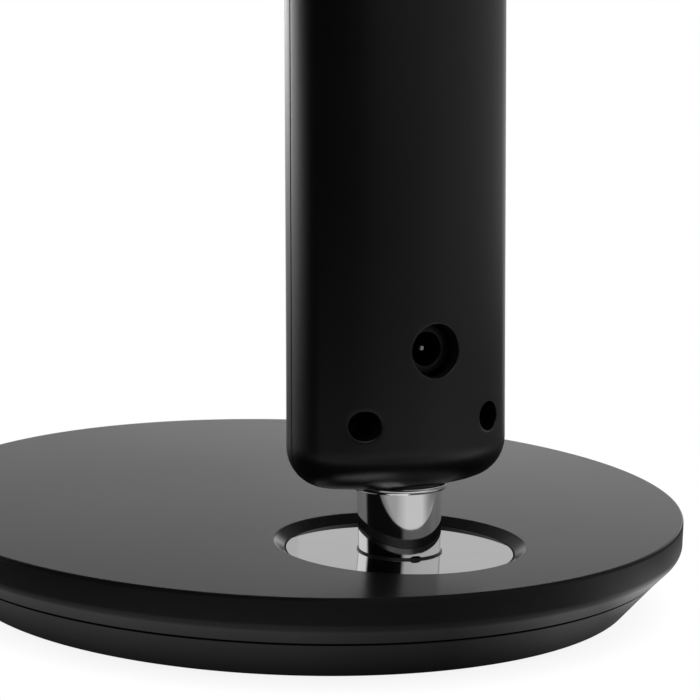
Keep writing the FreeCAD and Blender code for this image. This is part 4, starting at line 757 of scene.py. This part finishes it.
def arm_shell(depth, corner, side, holes):
    """Carry a half oval down the arm, round its foot, through the bore and back up inside.

    At the foot the oval shrinks over a quarter circle and then blends into the half circle of
    the bore. Each hole is (across, height, radius, boss radius, bore rings, patch): a block of
    cells of the patch's half sizes is left out of both walls and filled with rings.
    """
    screw, tall = WELL_PATCH
    across = columns_across(ARM_HALF, corner, 20.0, SEAM_EDGE, stations(
        (SCREW_SIDE + screw, HOLE_CELLS), (SCREW_SIDE - screw, 2), (JACK_PATCH, HOLE_CELLS),
        (-JACK_PATCH, 2), (screw - SCREW_SIDE, HOLE_CELLS), (-SCREW_SIDE - screw, 0)))
    outer, normal, curve = edged_oval(ARM_HALF, depth, corner, SEAM_EDGE, across)
    low, high = SCREW_HEIGHTS
    heights = stations((ARM_TOP, 4), (high + tall, HOLE_CELLS), (high - tall, 24),
                       (JACK_HEIGHT + JACK_PATCH, HOLE_CELLS), (JACK_HEIGHT - JACK_PATCH, 2),
                       (low + tall, HOLE_CELLS), (low - tall, 0))
    steps = np.linalg.norm(np.diff(outer, axis=0), axis=1)
    fraction = np.concatenate([[0], np.cumsum(steps)]) / steps.sum()

    def half_circle(radius):
        """Follow a circle round the post's axis from seam to seam."""
        start = side * math.asin(SEAM / radius)
        angle = start + (math.pi - 2 * start) * fraction
        return to_points(radius * np.cos(angle), radius * np.sin(angle) - side * SEAM)

    def outside(x):
        """Give the depth of the outer wall."""
        return SEAM + half_oval(ARM_HALF, depth, corner, x)[0][:, 1]

    def lining(x):
        """Give the depth of the inner wall."""
        inner = half_oval(ARM_HALF - ARM_WALL, depth - ARM_WALL, corner - ARM_WALL, x)[0]
        return SEAM + inner[:, 1]

    bore = half_circle(POST_TOP_RADIUS + 0.1)
    stem = half_circle(STEM_BORE)
    inner = outer - normal * ARM_WALL
    foot = curve - normal * ARM_ROUND
    rows = [(curve, level) for level in heights]
    rows += [(curve - normal * (ARM_ROUND * drawn), ARM_FOOT + ARM_ROUND * off)
             for off, drawn in quarter(15)[1:]]
    rows += [(points, ARM_FOOT) for points in blend(foot, bore, (0.25, 0.5, 0.75, 1.0))]
    rows += [(bore, POST_TOP), (stem, POST_TOP), (stem, ARM_FLOOR)]
    rows += [(points, ARM_FLOOR) for points in blend(stem, inner, (0.3, 0.65, 1.0))]
    last = len(rows) + len(heights) - 1
    rows += [(inner, max(level, ARM_FLOOR + 2)) for level in heights[::-1]]
    grid = np.stack([layer(points, level, SEAM) for points, level in rows])
    grid[:, (0, -1), 1] = SEAM
    left_out = []
    fills = []
    for x, z, radius, boss, bore_rings, (half_x, half_z) in holes:
        column = nearest(across, x + half_x)
        row = nearest(heights, z + half_z)
        block = (row, row + HOLE_CELLS, column, column + HOLE_CELLS)
        mirror = (last - block[1], last - row, column, column + HOLE_CELLS)
        left_out += [block, mirror]
        fills.append(line_hole(grid, block, mirror, (x, z), radius, HOLE_EDGE, outside, lining,
                               boss, bore_rings))
    grid[..., 1] = grid[..., 1] if side > 0 else 2 * SEAM - grid[..., 1]
    return [(grid, True, False, *left_out)] + fills, [grid[:, 0], grid[:, -1]]


satin_black = moulded_plastic("satin_black", 0.0035, 0.02, 0.33, 0.27, size=1600.0, bump=0.05,
                              wear=0.25)
well_rings = [(WELL_RADIUS, WELL_SEAT), (SHANK_RADIUS, WELL_SEAT), (SHANK_RADIUS, SEAM),
              (BOSS_RADIUS, SEAM)]
bores = [(0.0, JACK_HEIGHT, JACK_HOLE, None, (), (JACK_PATCH, JACK_PATCH))]
bores += [(side * SCREW_SIDE, level, WELL_RADIUS, BOSS_RADIUS, well_rings, WELL_PATCH)
          for level in SCREW_HEIGHTS for side in (1, -1)]
surfaces, caps = arm_shell(*REAR_OVAL, 1, bores)
arm_rear = make_piece("Arm_rear", surfaces, satin_black, caps, "arm", crowned=True, place=leaned)
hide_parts("arm_rear_cover")

# Front arm cover: the shallower half of the arm, closed by the same screws from behind. The two
# halves meet at a fine groove along the arm's sides.
FRONT_OVAL = (10.7, 8.4)
surfaces, caps = arm_shell(*FRONT_OVAL, -1, [])
arm_front = make_piece("Arm_front", surfaces, satin_black, caps, "arm", crowned=True, place=leaned)
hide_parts("arm_front_cover")

# Power inlet: a black thermoplastic socket on the driver board. Its round barrel shows in the
# bore of the arm, with a metal contact pin in the middle.
JACK_FACE = SEAM + REAR_OVAL[0] - 3.9
JACK_FLOOR = JACK_FACE - 9.2
JACK_SHOULDER = JACK_FACE - 4.2
JACK_END = JACK_FLOOR - 0.6
JACK_BARREL = 4.8
JACK_NECK = 3.6
JACK_BORE = 3.15
JACK_BLOCK_HALF = 4.5
JACK_BLOCK_TALL = 11.0
BOARD_BACK = -1.5


def along_y(rings):
    """Lay a turned shape on its side: its axis runs along Y at the inlet's height."""
    return to_points(rings[..., 0], rings[..., 2], JACK_HEIGHT - rings[..., 1])


def slab(path, count=64):
    """Turn a path round a rectangle: each ring is a rounded rectangle at one height.

    The path's rows are (half width, half length, middle along Y, height, corner radius). A ring
    is the rectangle of the corners' centres, grown by a circle of the corner radius.
    """
    angle = np.linspace(0, 2 * math.pi, count, endpoint=False) + math.pi / count
    x, y = np.cos(angle), np.sin(angle)
    return np.stack([to_points(np.sign(x) * (wide - corner) + x * corner,
                               np.sign(y) * (long - corner) + y * corner + middle, height)
                     for wide, long, middle, height, corner in path])


def box(half_x, y_range, z_range, edge):
    """Close a box with rounded edges: at both ends its rings shrink over a quarter circle."""
    ends = [(y_range[0] + edge * drawn, off) for off, drawn in quarter(5)]
    ends += [(y_range[1] - edge * drawn, off) for off, drawn in quarter(5)[::-1]]
    half_z = (z_range[1] - z_range[0]) / 2
    return slab([(half_x - edge * off, half_z - edge * off, sum(z_range) / 2, y, edge * (1 - off))
                 for y, off in ends], 32)[..., [0, 2, 1]]


def ends(*grids):
    """List the first and last ring of each grid, to be closed flat."""
    return [grid[row] for grid in grids for row in (0, -1)]


jack_black = moulded_plastic("jack_black", 0.003, 0.008, 0.36, 0.28, size=2600.0, bump=0.02,
                             wear=0.1, specular=0.25)
barrel_path = rounded_path([
    (0, JACK_FLOOR, 0), (JACK_BORE, JACK_FLOOR, 0.2), (JACK_BORE, JACK_FACE, 0.35),
    (JACK_BARREL, JACK_FACE, 0.3), (JACK_BARREL, JACK_SHOULDER, 0), (JACK_NECK, JACK_SHOULDER, 0),
    (JACK_NECK, JACK_END, 0.2), (0, JACK_END, 0)], closed=False)
block = box(JACK_BLOCK_HALF, (BOARD_BACK, JACK_END - 0.1),
            (JACK_HEIGHT - JACK_BLOCK_TALL / 2, JACK_HEIGHT + JACK_BLOCK_TALL / 2), 0.4)
jack = make_piece("Power_inlet", [along_y(turned(barrel_path, 96)), block], jack_black, ends(block),
                  "arm", place=leaned)
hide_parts("dc_jack")

# Contact pin: a turned, nickel-plated pin with a rounded tip, pressed into the floor of the
# inlet's bore.
PIN_RADIUS = 1.05
PIN_TIP = JACK_FACE - 1.2
jack_contact = polished_metal("jack_contact", (0.46, 0.45, 0.41), 0.14, 0.24)
pin_path = rounded_path([
    (0, JACK_FLOOR, 0), (PIN_RADIUS, JACK_FLOOR, 0), (PIN_RADIUS, PIN_TIP, PIN_RADIUS - 0.02),
    (0, PIN_TIP, 0)], closed=False)
pin = make_piece("Power_pin", [along_y(turned(pin_path, 48))], jack_contact, body="arm",
                 place=leaned)
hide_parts("jack_pin")

# Hinge yoke: a cast and painted end piece that closes the arm. Two round-ended ears stand on its
# flange, with a slot between them for the leads.
HINGE_HEIGHT = 330.0
HINGE_OUT = (REAR_OVAL[0] - FRONT_OVAL[0]) / 2 + SEAM
EAR_INNER = 11.0
EAR_OUTER = 18.0
EAR_RADIUS = 10.0
EAR_FOOT = ARM_TOP + 1.2
FLANGE_TALL = 3.0
PLUG_HALF = 12.0
PLUG_DEPTHS = (-6.3, 6.7)
PLUG_LONG = 14.0
CAST_EDGE = 0.6


def plate(outline, low, high, edge):
    """Give an outline (counterclockwise) a thickness, with both faces' edges rounded.

    Rings of the outline run from one face to the other. Near a face they draw in over a quarter
    circle, each point along the mean normal of its two sides. Points are (first, second, level).
    """
    back = outline - np.roll(outline, 1, 0)
    onward = np.roll(outline, -1, 0) - outline
    back /= np.linalg.norm(back, axis=1)[:, None]
    onward /= np.linalg.norm(onward, axis=1)[:, None]
    normal = to_points(back[:, 1] + onward[:, 1], -back[:, 0] - onward[:, 0])
    normal /= np.linalg.norm(normal, axis=1)[:, None]
    side_normal = to_points(onward[:, 1], -onward[:, 0])
    spread = np.clip(np.sum(normal * side_normal, axis=1), 0.4, 1)
    rows = [(low + edge * off, drawn) for off, drawn in quarter(6)[::-1]]
    rows += [(high - edge * off, drawn) for off, drawn in quarter(6)]
    return np.stack([np.insert(outline - normal * (edge * drawn / spread)[:, None], 2, level, 1)
                     for level, drawn in rows])


def arc(centre, radius, start, end, steps):
    """List points on an arc from one angle to another, in degrees."""
    angle = np.radians(np.linspace(start, end, steps + 1))
    return to_points(centre[0] + radius * np.cos(angle), centre[1] + radius * np.sin(angle))


cast_black = moulded_plastic("cast_black", 0.014, 0.06, 0.46, 0.38, size=700.0, bump=0.12, wear=0.3)
rear, _ = half_oval(ARM_HALF, *REAR_OVAL, ARM_HALF * np.cos(np.linspace(0, math.pi, 90)))
front, _ = half_oval(ARM_HALF, *FRONT_OVAL, ARM_HALF * np.cos(np.linspace(math.pi, 0, 90)))
flange_line = np.concatenate([rear + (0, SEAM), to_points(front[:, 0], SEAM - front[:, 1])[1:-1]])
flange = plate(flange_line, ARM_TOP, ARM_TOP + FLANGE_TALL, CAST_EDGE)
side_rise = np.linspace(EAR_FOOT, HINGE_HEIGHT, 9)
ear_line = np.concatenate([
    to_points(HINGE_OUT + EAR_RADIUS, side_rise[:-1]),
    arc((HINGE_OUT, HINGE_HEIGHT), EAR_RADIUS, 0, 180, 48),
    to_points(HINGE_OUT - EAR_RADIUS, side_rise[-2::-1])])
ears = [plate(ear_line, low, high, CAST_EDGE)[..., [2, 0, 1]]
        for low, high in ((EAR_INNER, EAR_OUTER), (-EAR_OUTER, -EAR_INNER))]
plug = box(PLUG_HALF, PLUG_DEPTHS, (ARM_TOP - PLUG_LONG, ARM_TOP + 0.8), 0.5)
surfaces = [flange, *ears, plug]
yoke = make_piece("Hinge_yoke", surfaces, cast_black, ends(*surfaces), "arm", place=leaned)
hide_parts("hinge_yoke")

# Hinge caps: two pressed-on black covers over the ends of the hinge bolt, slightly dished.
CAP_RADIUS = 9.0
CAP_BORE = 7.0
CAP_DEEP = 4.6
CAP_DISH = CAP_DEEP - 0.35
CAP_LINING = CAP_DISH - 1.0
cap_path = rounded_path([
    (0, CAP_DISH, 0), (5.6, CAP_DISH, 2.0), (7.0, CAP_DEEP, 0.6), (CAP_RADIUS, CAP_DEEP, 0.9),
    (CAP_RADIUS, 0, 0.15), (CAP_BORE, 0, 0.1), (CAP_BORE, CAP_LINING, 0.3), (0, CAP_LINING, 0)],
    closed=False)
rings = turned(cap_path, 96)
for name, side in (("right", 1), ("left", -1)):
    cap = to_points(side * (EAR_OUTER + rings[..., 2]), HINGE_OUT + rings[..., 0],
                    HINGE_HEIGHT + rings[..., 1])
    hinge_cap = make_piece(f"Hinge_cap_{name}", [cap], trim_black, body="arm", place=leaned)
    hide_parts(f"hinge_cap_{name}")

# Bar knuckle: a cast barrel that turns between the ears, in one piece with the flat neck that
# runs into the bar.
HINGE_POINT = np.array([0.0, 17.828, 346.755])
KNUCKLE_RADIUS = 9.8
KNUCKLE_HALF = 10.2
NECK_LOW = -2.5
NECK_HIGH = 6.0
NECK_RUN = np.linspace(-38.0, -12.0, 6)


def at_hinge(points):
    """Move points of the bar from the hinge axis to their place."""
    return points + HINGE_POINT


meet_low = 180 + math.degrees(math.asin(-NECK_LOW / KNUCKLE_RADIUS))
meet_high = 540 - math.degrees(math.asin(NECK_HIGH / KNUCKLE_RADIUS))
knuckle_line = np.concatenate([
    to_points(NECK_RUN, NECK_LOW),
    arc((0, 0), KNUCKLE_RADIUS, meet_low, meet_high, 72),
    to_points(NECK_RUN[::-1], NECK_HIGH)])
knuckle = plate(knuckle_line, -KNUCKLE_HALF, KNUCKLE_HALF, CAST_EDGE)[..., [2, 0, 1]]
bar_knuckle = make_piece("Bar_knuckle", [knuckle], cast_black, ends(knuckle), "bar", place=at_hinge)
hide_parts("bar_knuckle")

# Bar cover: the long crowned satin-black shell on top of the bar, with rounded ends, a notch for
# the neck and three round holes for the buttons.
BAR_START = 16.0
BAR_END = 316.0
BAR_HALF = 20.0
BAR_WALL = 2.0
COVER_OVAL = (10.0, 7.0)
COVER_ROUND = 3.0
NOTCH_CLEAR = 0.2
BUTTON_SPOTS = (56.0, 71.0, 86.0)
BUTTON_HOLE = 4.75
BUTTON_PATCH = 6.6
PART_EDGE = 0.18


def notch_line(columns, half, high):
    """Follow a square notch from side to side with the given number of points."""
    up = max(3, columns // 5)
    side = np.linspace(0, 1, up, endpoint=False) * high
    flat = np.linspace(1, -1, columns - 2 * up) * half
    return np.concatenate([to_points(half, side), to_points(flat, high),
                           to_points(-half, side[::-1])])


def bar_shell(oval, end_round, inner_line, across, along, notch_high, patches):
    """Carry a half oval along the bar between two rounded ends, then back along the inside.

    The first end face runs in to a point at the parting, the second to the notch of the neck.
    At each end the oval shrinks over a quarter circle. Points are (across, height, along). A
    patch is (its edge across, its edge along, columns, rows); its cells in the outer and in the
    inner wall are returned as blocks.
    """
    _, normal, curve = edged_oval(BAR_HALF, *oval, PART_EDGE, across)
    notch = notch_line(len(across), KNUCKLE_HALF + NOTCH_CLEAR, notch_high)
    bend = quarter(9)

    def shrunk(share):
        """Draw the oval in along its normals by a share of the end's radius."""
        ring = curve - normal * end_round * share
        ring[(0, -1), 1] = 0.0
        return ring

    rows = [(shrunk(1) * share, -BAR_END) for share in (0.0, 0.5)]
    rows += [(shrunk(off), -BAR_END + end_round * drawn) for off, drawn in bend]
    first = len(rows)
    rows += [(curve, place) for place in along]
    rows += [(shrunk(off), -BAR_START - end_round * drawn) for off, drawn in bend[::-1]]
    rows += [(points, -BAR_START) for points in blend(shrunk(1), notch, (0.5, 1.0))]
    rows += [(points, -BAR_START - BAR_WALL) for points in
             [notch] + blend(notch, inner_line, (0.5, 1.0))]
    last = len(rows) + len(along) - 1
    rows += [(inner_line, place) for place in along[::-1]]
    rows += [(inner_line * share, -BAR_END + BAR_WALL) for share in (1.0, 0.5, 0.0)]
    blocks = []
    for edge, start, columns, count in patches:
        column = nearest(across, edge)
        row = nearest(along, start)
        blocks.append([(first + row, first + row + count, column, column + columns),
                       (last - row - count, last - row, column, column + columns)])
    return np.stack([layer(points, place) for points, place in rows]), blocks


def in_bar(points):
    """Move (across, height, along) points of the bar to their place."""
    return at_hinge(points[..., [0, 2, 1]])


def cover_top(x):
    """Give the height of the cover's outside."""
    return half_oval(BAR_HALF, *COVER_OVAL, x)[0][:, 1]


def cover_lining(x):
    """Give the height of the cover's inside."""
    return np.interp(x, inner_line[::-1, 0], inner_line[::-1, 1])


across = columns_across(BAR_HALF, COVER_OVAL[1], 17.0, PART_EDGE, stations(
    (15.6, 5), (BUTTON_PATCH, HOLE_CELLS), (-BUTTON_PATCH, 5), (-15.6, 0)), 8)
along = stations((-313, 18), *[(-spot + side * BUTTON_PATCH, cells) for spot, gap in zip(
    BUTTON_SPOTS[::-1], (1, 1, 6)) for side, cells in ((-1, HOLE_CELLS), (1, gap))], (-19, 0))
outer, normal = half_oval(BAR_HALF, *COVER_OVAL, across)
inner_line = outer - normal * BAR_WALL
grid, blocks = bar_shell(
    COVER_OVAL, COVER_ROUND, inner_line, across, along, NECK_HIGH + 0.05,
    [(BUTTON_PATCH, -place - BUTTON_PATCH, HOLE_CELLS, HOLE_CELLS) for place in BUTTON_SPOTS])
left_out = []
fills = []
for place, (block, mirror) in zip(BUTTON_SPOTS, blocks):
    left_out += [block, mirror]
    fills.append(line_hole(grid, block, mirror, (0, -place), BUTTON_HOLE, 0.25, cover_top,
                           cover_lining))
bar_cover = make_piece("Bar_cover", [(grid, True, False, *left_out)] + fills, satin_black,
                       [grid[:, 0], grid[:, -1]], "bar", crowned=True, place=in_bar)
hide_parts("bar_cover")

# Bar frame: the shallow lower shell of the bar. A long window for the light is moulded in it,
# with a ledge inside that carries the diffuser.
FRAME_OVAL = (5.0, 4.0)
FRAME_ROUND = 2.0
LEDGE = 3.0
WINDOW_HALF = 15.5
WINDOW_NEAR = -44.0
WINDOW_FAR = -310.0
WINDOW_EDGE = 0.4
WINDOW_MIDDLE = (WINDOW_NEAR + WINDOW_FAR) / 2
PATCH_HALF = 16.2
PATCH_COLUMNS = 24
PATCH_FAR = -310.7
PATCH_ROWS = 60
middle = stations((PATCH_HALF, PATCH_COLUMNS), (-PATCH_HALF, 0))
across = columns_across(BAR_HALF, FRAME_OVAL[1], 18.2, PART_EDGE, middle, 8)
along = stations((-314.0, 2), (PATCH_FAR, PATCH_ROWS), (-43.3, 6), (-18.0, 0))
inner_half = BAR_HALF - BAR_WALL
climb = np.linspace(0, LEDGE, (len(across) - len(middle)) // 2, endpoint=False)
inner_line = np.concatenate([
    to_points(inner_half, climb), to_points(middle * inner_half / PATCH_HALF, LEDGE),
    to_points(-inner_half, climb[::-1])])
grid, blocks = bar_shell(FRAME_OVAL, FRAME_ROUND, inner_line, across, along, NOTCH_CLEAR - NECK_LOW,
                         [(PATCH_HALF, PATCH_FAR, PATCH_COLUMNS, PATCH_ROWS)])
ring, inner_ring = (block_ring(grid, block) for block in blocks[0])


def window_ring(grow, drop=0.0, height=None):
    """Scale the ring of the patch onto the window, grown by a margin, at or below the outside."""
    flat = ring[:, (0, 2)] - (0.0, WINDOW_MIDDLE)
    reach = np.array([WINDOW_HALF, (WINDOW_NEAR - WINDOW_FAR) / 2]) + grow
    flat = flat * (reach / np.abs(flat).max(0))
    if height is None:
        height = half_oval(BAR_HALF, *FRAME_OVAL, flat[:, 0])[0][:, 1] - drop
    return to_points(flat[:, 0], height, flat[:, 1] + WINDOW_MIDDLE)


def below_bar(points):
    """Move (across, depth, along) points of the bar's lower half to their place."""
    return in_bar(points * (1, -1, 1))


rows = [ring]
rows += [window_ring(WINDOW_EDGE * off, WINDOW_EDGE * drawn) for off, drawn in quarter(5)]
rows += [window_ring(0.0, height=LEDGE), in_step(inner_ring, ring, (0.0, WINDOW_MIDDLE))]
bar_frame = make_piece("Bar_frame", [(grid, True, False, *blocks[0]), np.stack(rows)], satin_black,
                       [grid[:, 0], grid[:, -1]], "bar", crowned=True, place=below_bar)
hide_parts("bar_frame")

# Diffuser: an opal acrylic plate that lies on the frame's ledge. Its raised face fills the
# window, and its edges are polished round.
OPAL_FACE = -5.2
OPAL_EDGE = 0.5
OPAL_CORNER = 0.6
FLANGE_THICK = 1.6
FACE = (15.3, 132.8, WINDOW_MIDDLE)
FLANGE = (17.8, 137.8, -176.0)
opal, tree, place = start_material("opal")
cloud = add_noise(tree, place, 120.0, 4.0)
tone = add_ramp(tree, cloud, [(0.35, (0.74, 0.74, 0.72)), (0.65, (0.80, 0.80, 0.78))])
frost = stretch(tree, cloud, 0.3, 0.7, 0.32, 0.44)
prism = add_node(tree, "TexVoronoi", {"Vector": place, "Scale": 1100.0}).outputs[0]
end_material(opal, tone, frost, prism, 0.12, Subsurface_Weight=0.25,
             Subsurface_Radius=(0.002, 0.002, 0.002))
path = [(FACE[0] - OPAL_EDGE * off, FACE[1] - OPAL_EDGE * off, FACE[2],
         OPAL_FACE + OPAL_EDGE * drawn, OPAL_CORNER) for off, drawn in quarter(6)]
path += [(*FACE, -LEDGE, OPAL_CORNER), (*FLANGE, -LEDGE, OPAL_CORNER),
         (*FLANGE, FLANGE_THICK - LEDGE, OPAL_CORNER)]
rings = slab(path)
diffuser = make_piece("Diffuser", [rings], opal, ends(rings), "bar", place=at_hinge)
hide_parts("diffuser")

# Buttons: three round black caps in a row on the bar, each with a dished top, a lip that keeps it
# in the cover and a stem on its switch. Raised marks tell them apart by touch.
BUTTON_RADIUS = 4.6
BUTTON_TOP = 10.7
BUTTON_DISH = 10.42
STEM_RADIUS = 1.6
STEM_FOOT = 5.4
LIP_RADIUS = BUTTON_RADIUS + 0.8
LIP_TOP = 7.43
LIP_FOOT = 6.53
MARK_TOP = 10.58
MARK_FOOT = BUTTON_DISH - 0.3
MARK_EDGE = 0.08
MARK_LONG = 1.2
MARK_THIN = 0.2
MARK_RING = (1.0, 1.35)
button_path = rounded_path([
    (0, STEM_FOOT, 0), (STEM_RADIUS, STEM_FOOT, 0.2), (STEM_RADIUS, LIP_FOOT, 0.1),
    (LIP_RADIUS, LIP_FOOT, 0.15), (LIP_RADIUS, LIP_TOP, 0.15), (BUTTON_RADIUS, LIP_TOP, 0.1),
    (BUTTON_RADIUS, BUTTON_TOP, 0.45), (BUTTON_RADIUS - 1.2, BUTTON_TOP - 0.1, 0.9),
    (2.0, BUTTON_DISH, 1.5), (0, BUTTON_DISH, 0)], closed=False)
mark_path = band(*MARK_RING, MARK_FOOT, MARK_TOP, (0, 0, MARK_EDGE, MARK_EDGE))
minus = (MARK_LONG, MARK_THIN, 0.0)
for name, body, along, bars in (
        ("Power_button", "power_key", BUTTON_SPOTS[0], [(MARK_THIN, MARK_LONG / 2, 0.9)]),
        ("Brighter_button", "brighter_key", BUTTON_SPOTS[1], [minus, (MARK_THIN, MARK_LONG, 0.0)]),
        ("Dimmer_button", "dimmer_key", BUTTON_SPOTS[2], [minus])):
    marks = [plate(np.array([(1, -1), (1, 1), (-1, 1), (-1, -1)]) * (half_x, half_y), MARK_FOOT,
                   MARK_TOP, MARK_EDGE) + (0, shift - along, 0) for half_x, half_y, shift in bars]
    surfaces = [turned(button_path, 96) - (0.0, along, 0.0)] + marks
    if name == "Power_button":
        surfaces.append((turned(mark_path, 48) - (0.0, along, 0.0), True, True))
    button = make_piece(name, surfaces, trim_black, ends(*marks), body, place=at_hinge)
    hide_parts(name.lower())


# Steel inside: the weight, shafts, washers, pins and the spine are plain turned or stamped steel
# with a dull rolled surface; the screws are a little brighter, and the arm's are blackened.
def dress(material, *names):
    """Give carried nodes a material."""
    for name in names:
        for own_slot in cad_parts[name].material_slots:
            own_slot.material = material


rolled_group, entry = start_group("rolled_metal", Place="Vector", Dark="Color", Light="Color",
                                  Low=0.3, High=0.5)
drawn = add_node(rolled_group, "Mapping", {"Vector": entry["Place"], "Scale": (900.0, 900.0, 40.0)})
lines = add_noise(rolled_group, drawn.outputs[0], 1.0, 3.0)
blotch = add_noise(rolled_group, entry["Place"], 150.0, 4.0)
share = add_math(rolled_group, "MULTIPLY_ADD", lines, 0.5,
                 add_math(rolled_group, "MULTIPLY", blotch, 0.5))
tone = add_node(rolled_group, "Mix", {0: share, 6: entry["Dark"], 7: entry["Light"]},
                data_type="RGBA")
level = stretch(rolled_group, share, 0.3, 0.7, entry["Low"], entry["High"])
end_group(rolled_group, Colour=tone.outputs[2], Roughness=level, Height=lines)


def plain_metal(name, dark, light, low, high, bump=0.05):
    """Make an unpolished metal whose tone, dullness and fine lines vary over it."""
    material, tree, place = start_material(name)
    metal = add_group(tree, rolled_group, {"Place": place, "Dark": (*dark, 1), "Light": (*light, 1),
                                           "Low": low, "High": high})
    return end_material(material, metal["Colour"], metal["Roughness"], metal["Height"], bump,
                        Metallic=1.0)


plain_steel = plain_metal("plain_steel", (0.30, 0.30, 0.31), (0.46, 0.46, 0.47), 0.30, 0.50)
screw_steel = plain_metal("screw_steel", (0.36, 0.36, 0.37), (0.55, 0.55, 0.56), 0.22, 0.38)
black_steel = plain_metal("black_steel", (0.010, 0.010, 0.011), (0.03, 0.03, 0.03), 0.34, 0.48)
cast_alloy = plain_metal("cast_alloy", (0.42, 0.42, 0.43), (0.60, 0.60, 0.61), 0.45, 0.62, bump=0.2)
dress(plain_steel, "ballast_plate", "stop_pin", "stop_plate", "swivel_spring_washer", "swivel_nut",
      "pivot_stem", "arm_spine", "hinge_bolt", "hinge_spring_washer", "hinge_nut")
dress(screw_steel, "ballast_screws", "base_screws", "spine_screws", "board_screws",
      "led_board_screws", "neck_screws")
dress(black_steel, "arm_screws")
dress(cast_alloy, "stem_clamp")


# Boards and moulded parts inside: circuit boards with faint copper tracks under their lacquer,
# nylon bushes and spacers, black component bodies, coloured leads and the light-emitting chips.
def lacquered_board(name, base, track, width):
    """Make a circuit board: lacquer over tracks that run in steps along the board."""
    material, tree, place = start_material(name)
    cells = add_node(tree, "TexBrick", {
        "Vector": place, "Scale": 220.0, "Mortar Size": width, "Color1": (*base, 1),
        "Color2": (*[part * 0.9 for part in base], 1), "Mortar": (*track, 1)}).outputs
    gloss = stretch(tree, cells["Fac"], 0.0, 1.0, 0.30, 0.42)
    return end_material(material, cells[0], gloss, cells["Fac"], 0.2, 0.0001)


board_green = lacquered_board("board_green", (0.02, 0.11, 0.05), (0.05, 0.20, 0.10), 0.05)
board_white = lacquered_board("board_white", (0.72, 0.72, 0.70), (0.62, 0.62, 0.60), 0.04)
nylon = clouded_plastic("nylon", (0.66, 0.65, 0.60), (0.74, 0.73, 0.68), 0.50, 0.40)
component_dark = clouded_plastic("component_dark", (0.012, 0.012, 0.014), (0.03, 0.03, 0.032),
                                 0.45, 0.32)
led_amber = clouded_plastic("led_amber", (0.72, 0.46, 0.08), (0.85, 0.60, 0.14), 0.28, 0.18)
lead_red = clouded_plastic("lead_red", (0.42, 0.02, 0.02), (0.55, 0.035, 0.03), 0.50, 0.38)
dress(board_green, "driver_board", "switch_board")
dress(board_white, "led_board")
dress(nylon, "swivel_bush", "swivel_washer", "board_spacers")
dress(component_dark, "driver_parts", "tact_switches", "hinge_washers")
dress(led_amber, "led_chips")
dress(lead_red, "arm_leads", "bar_leads")
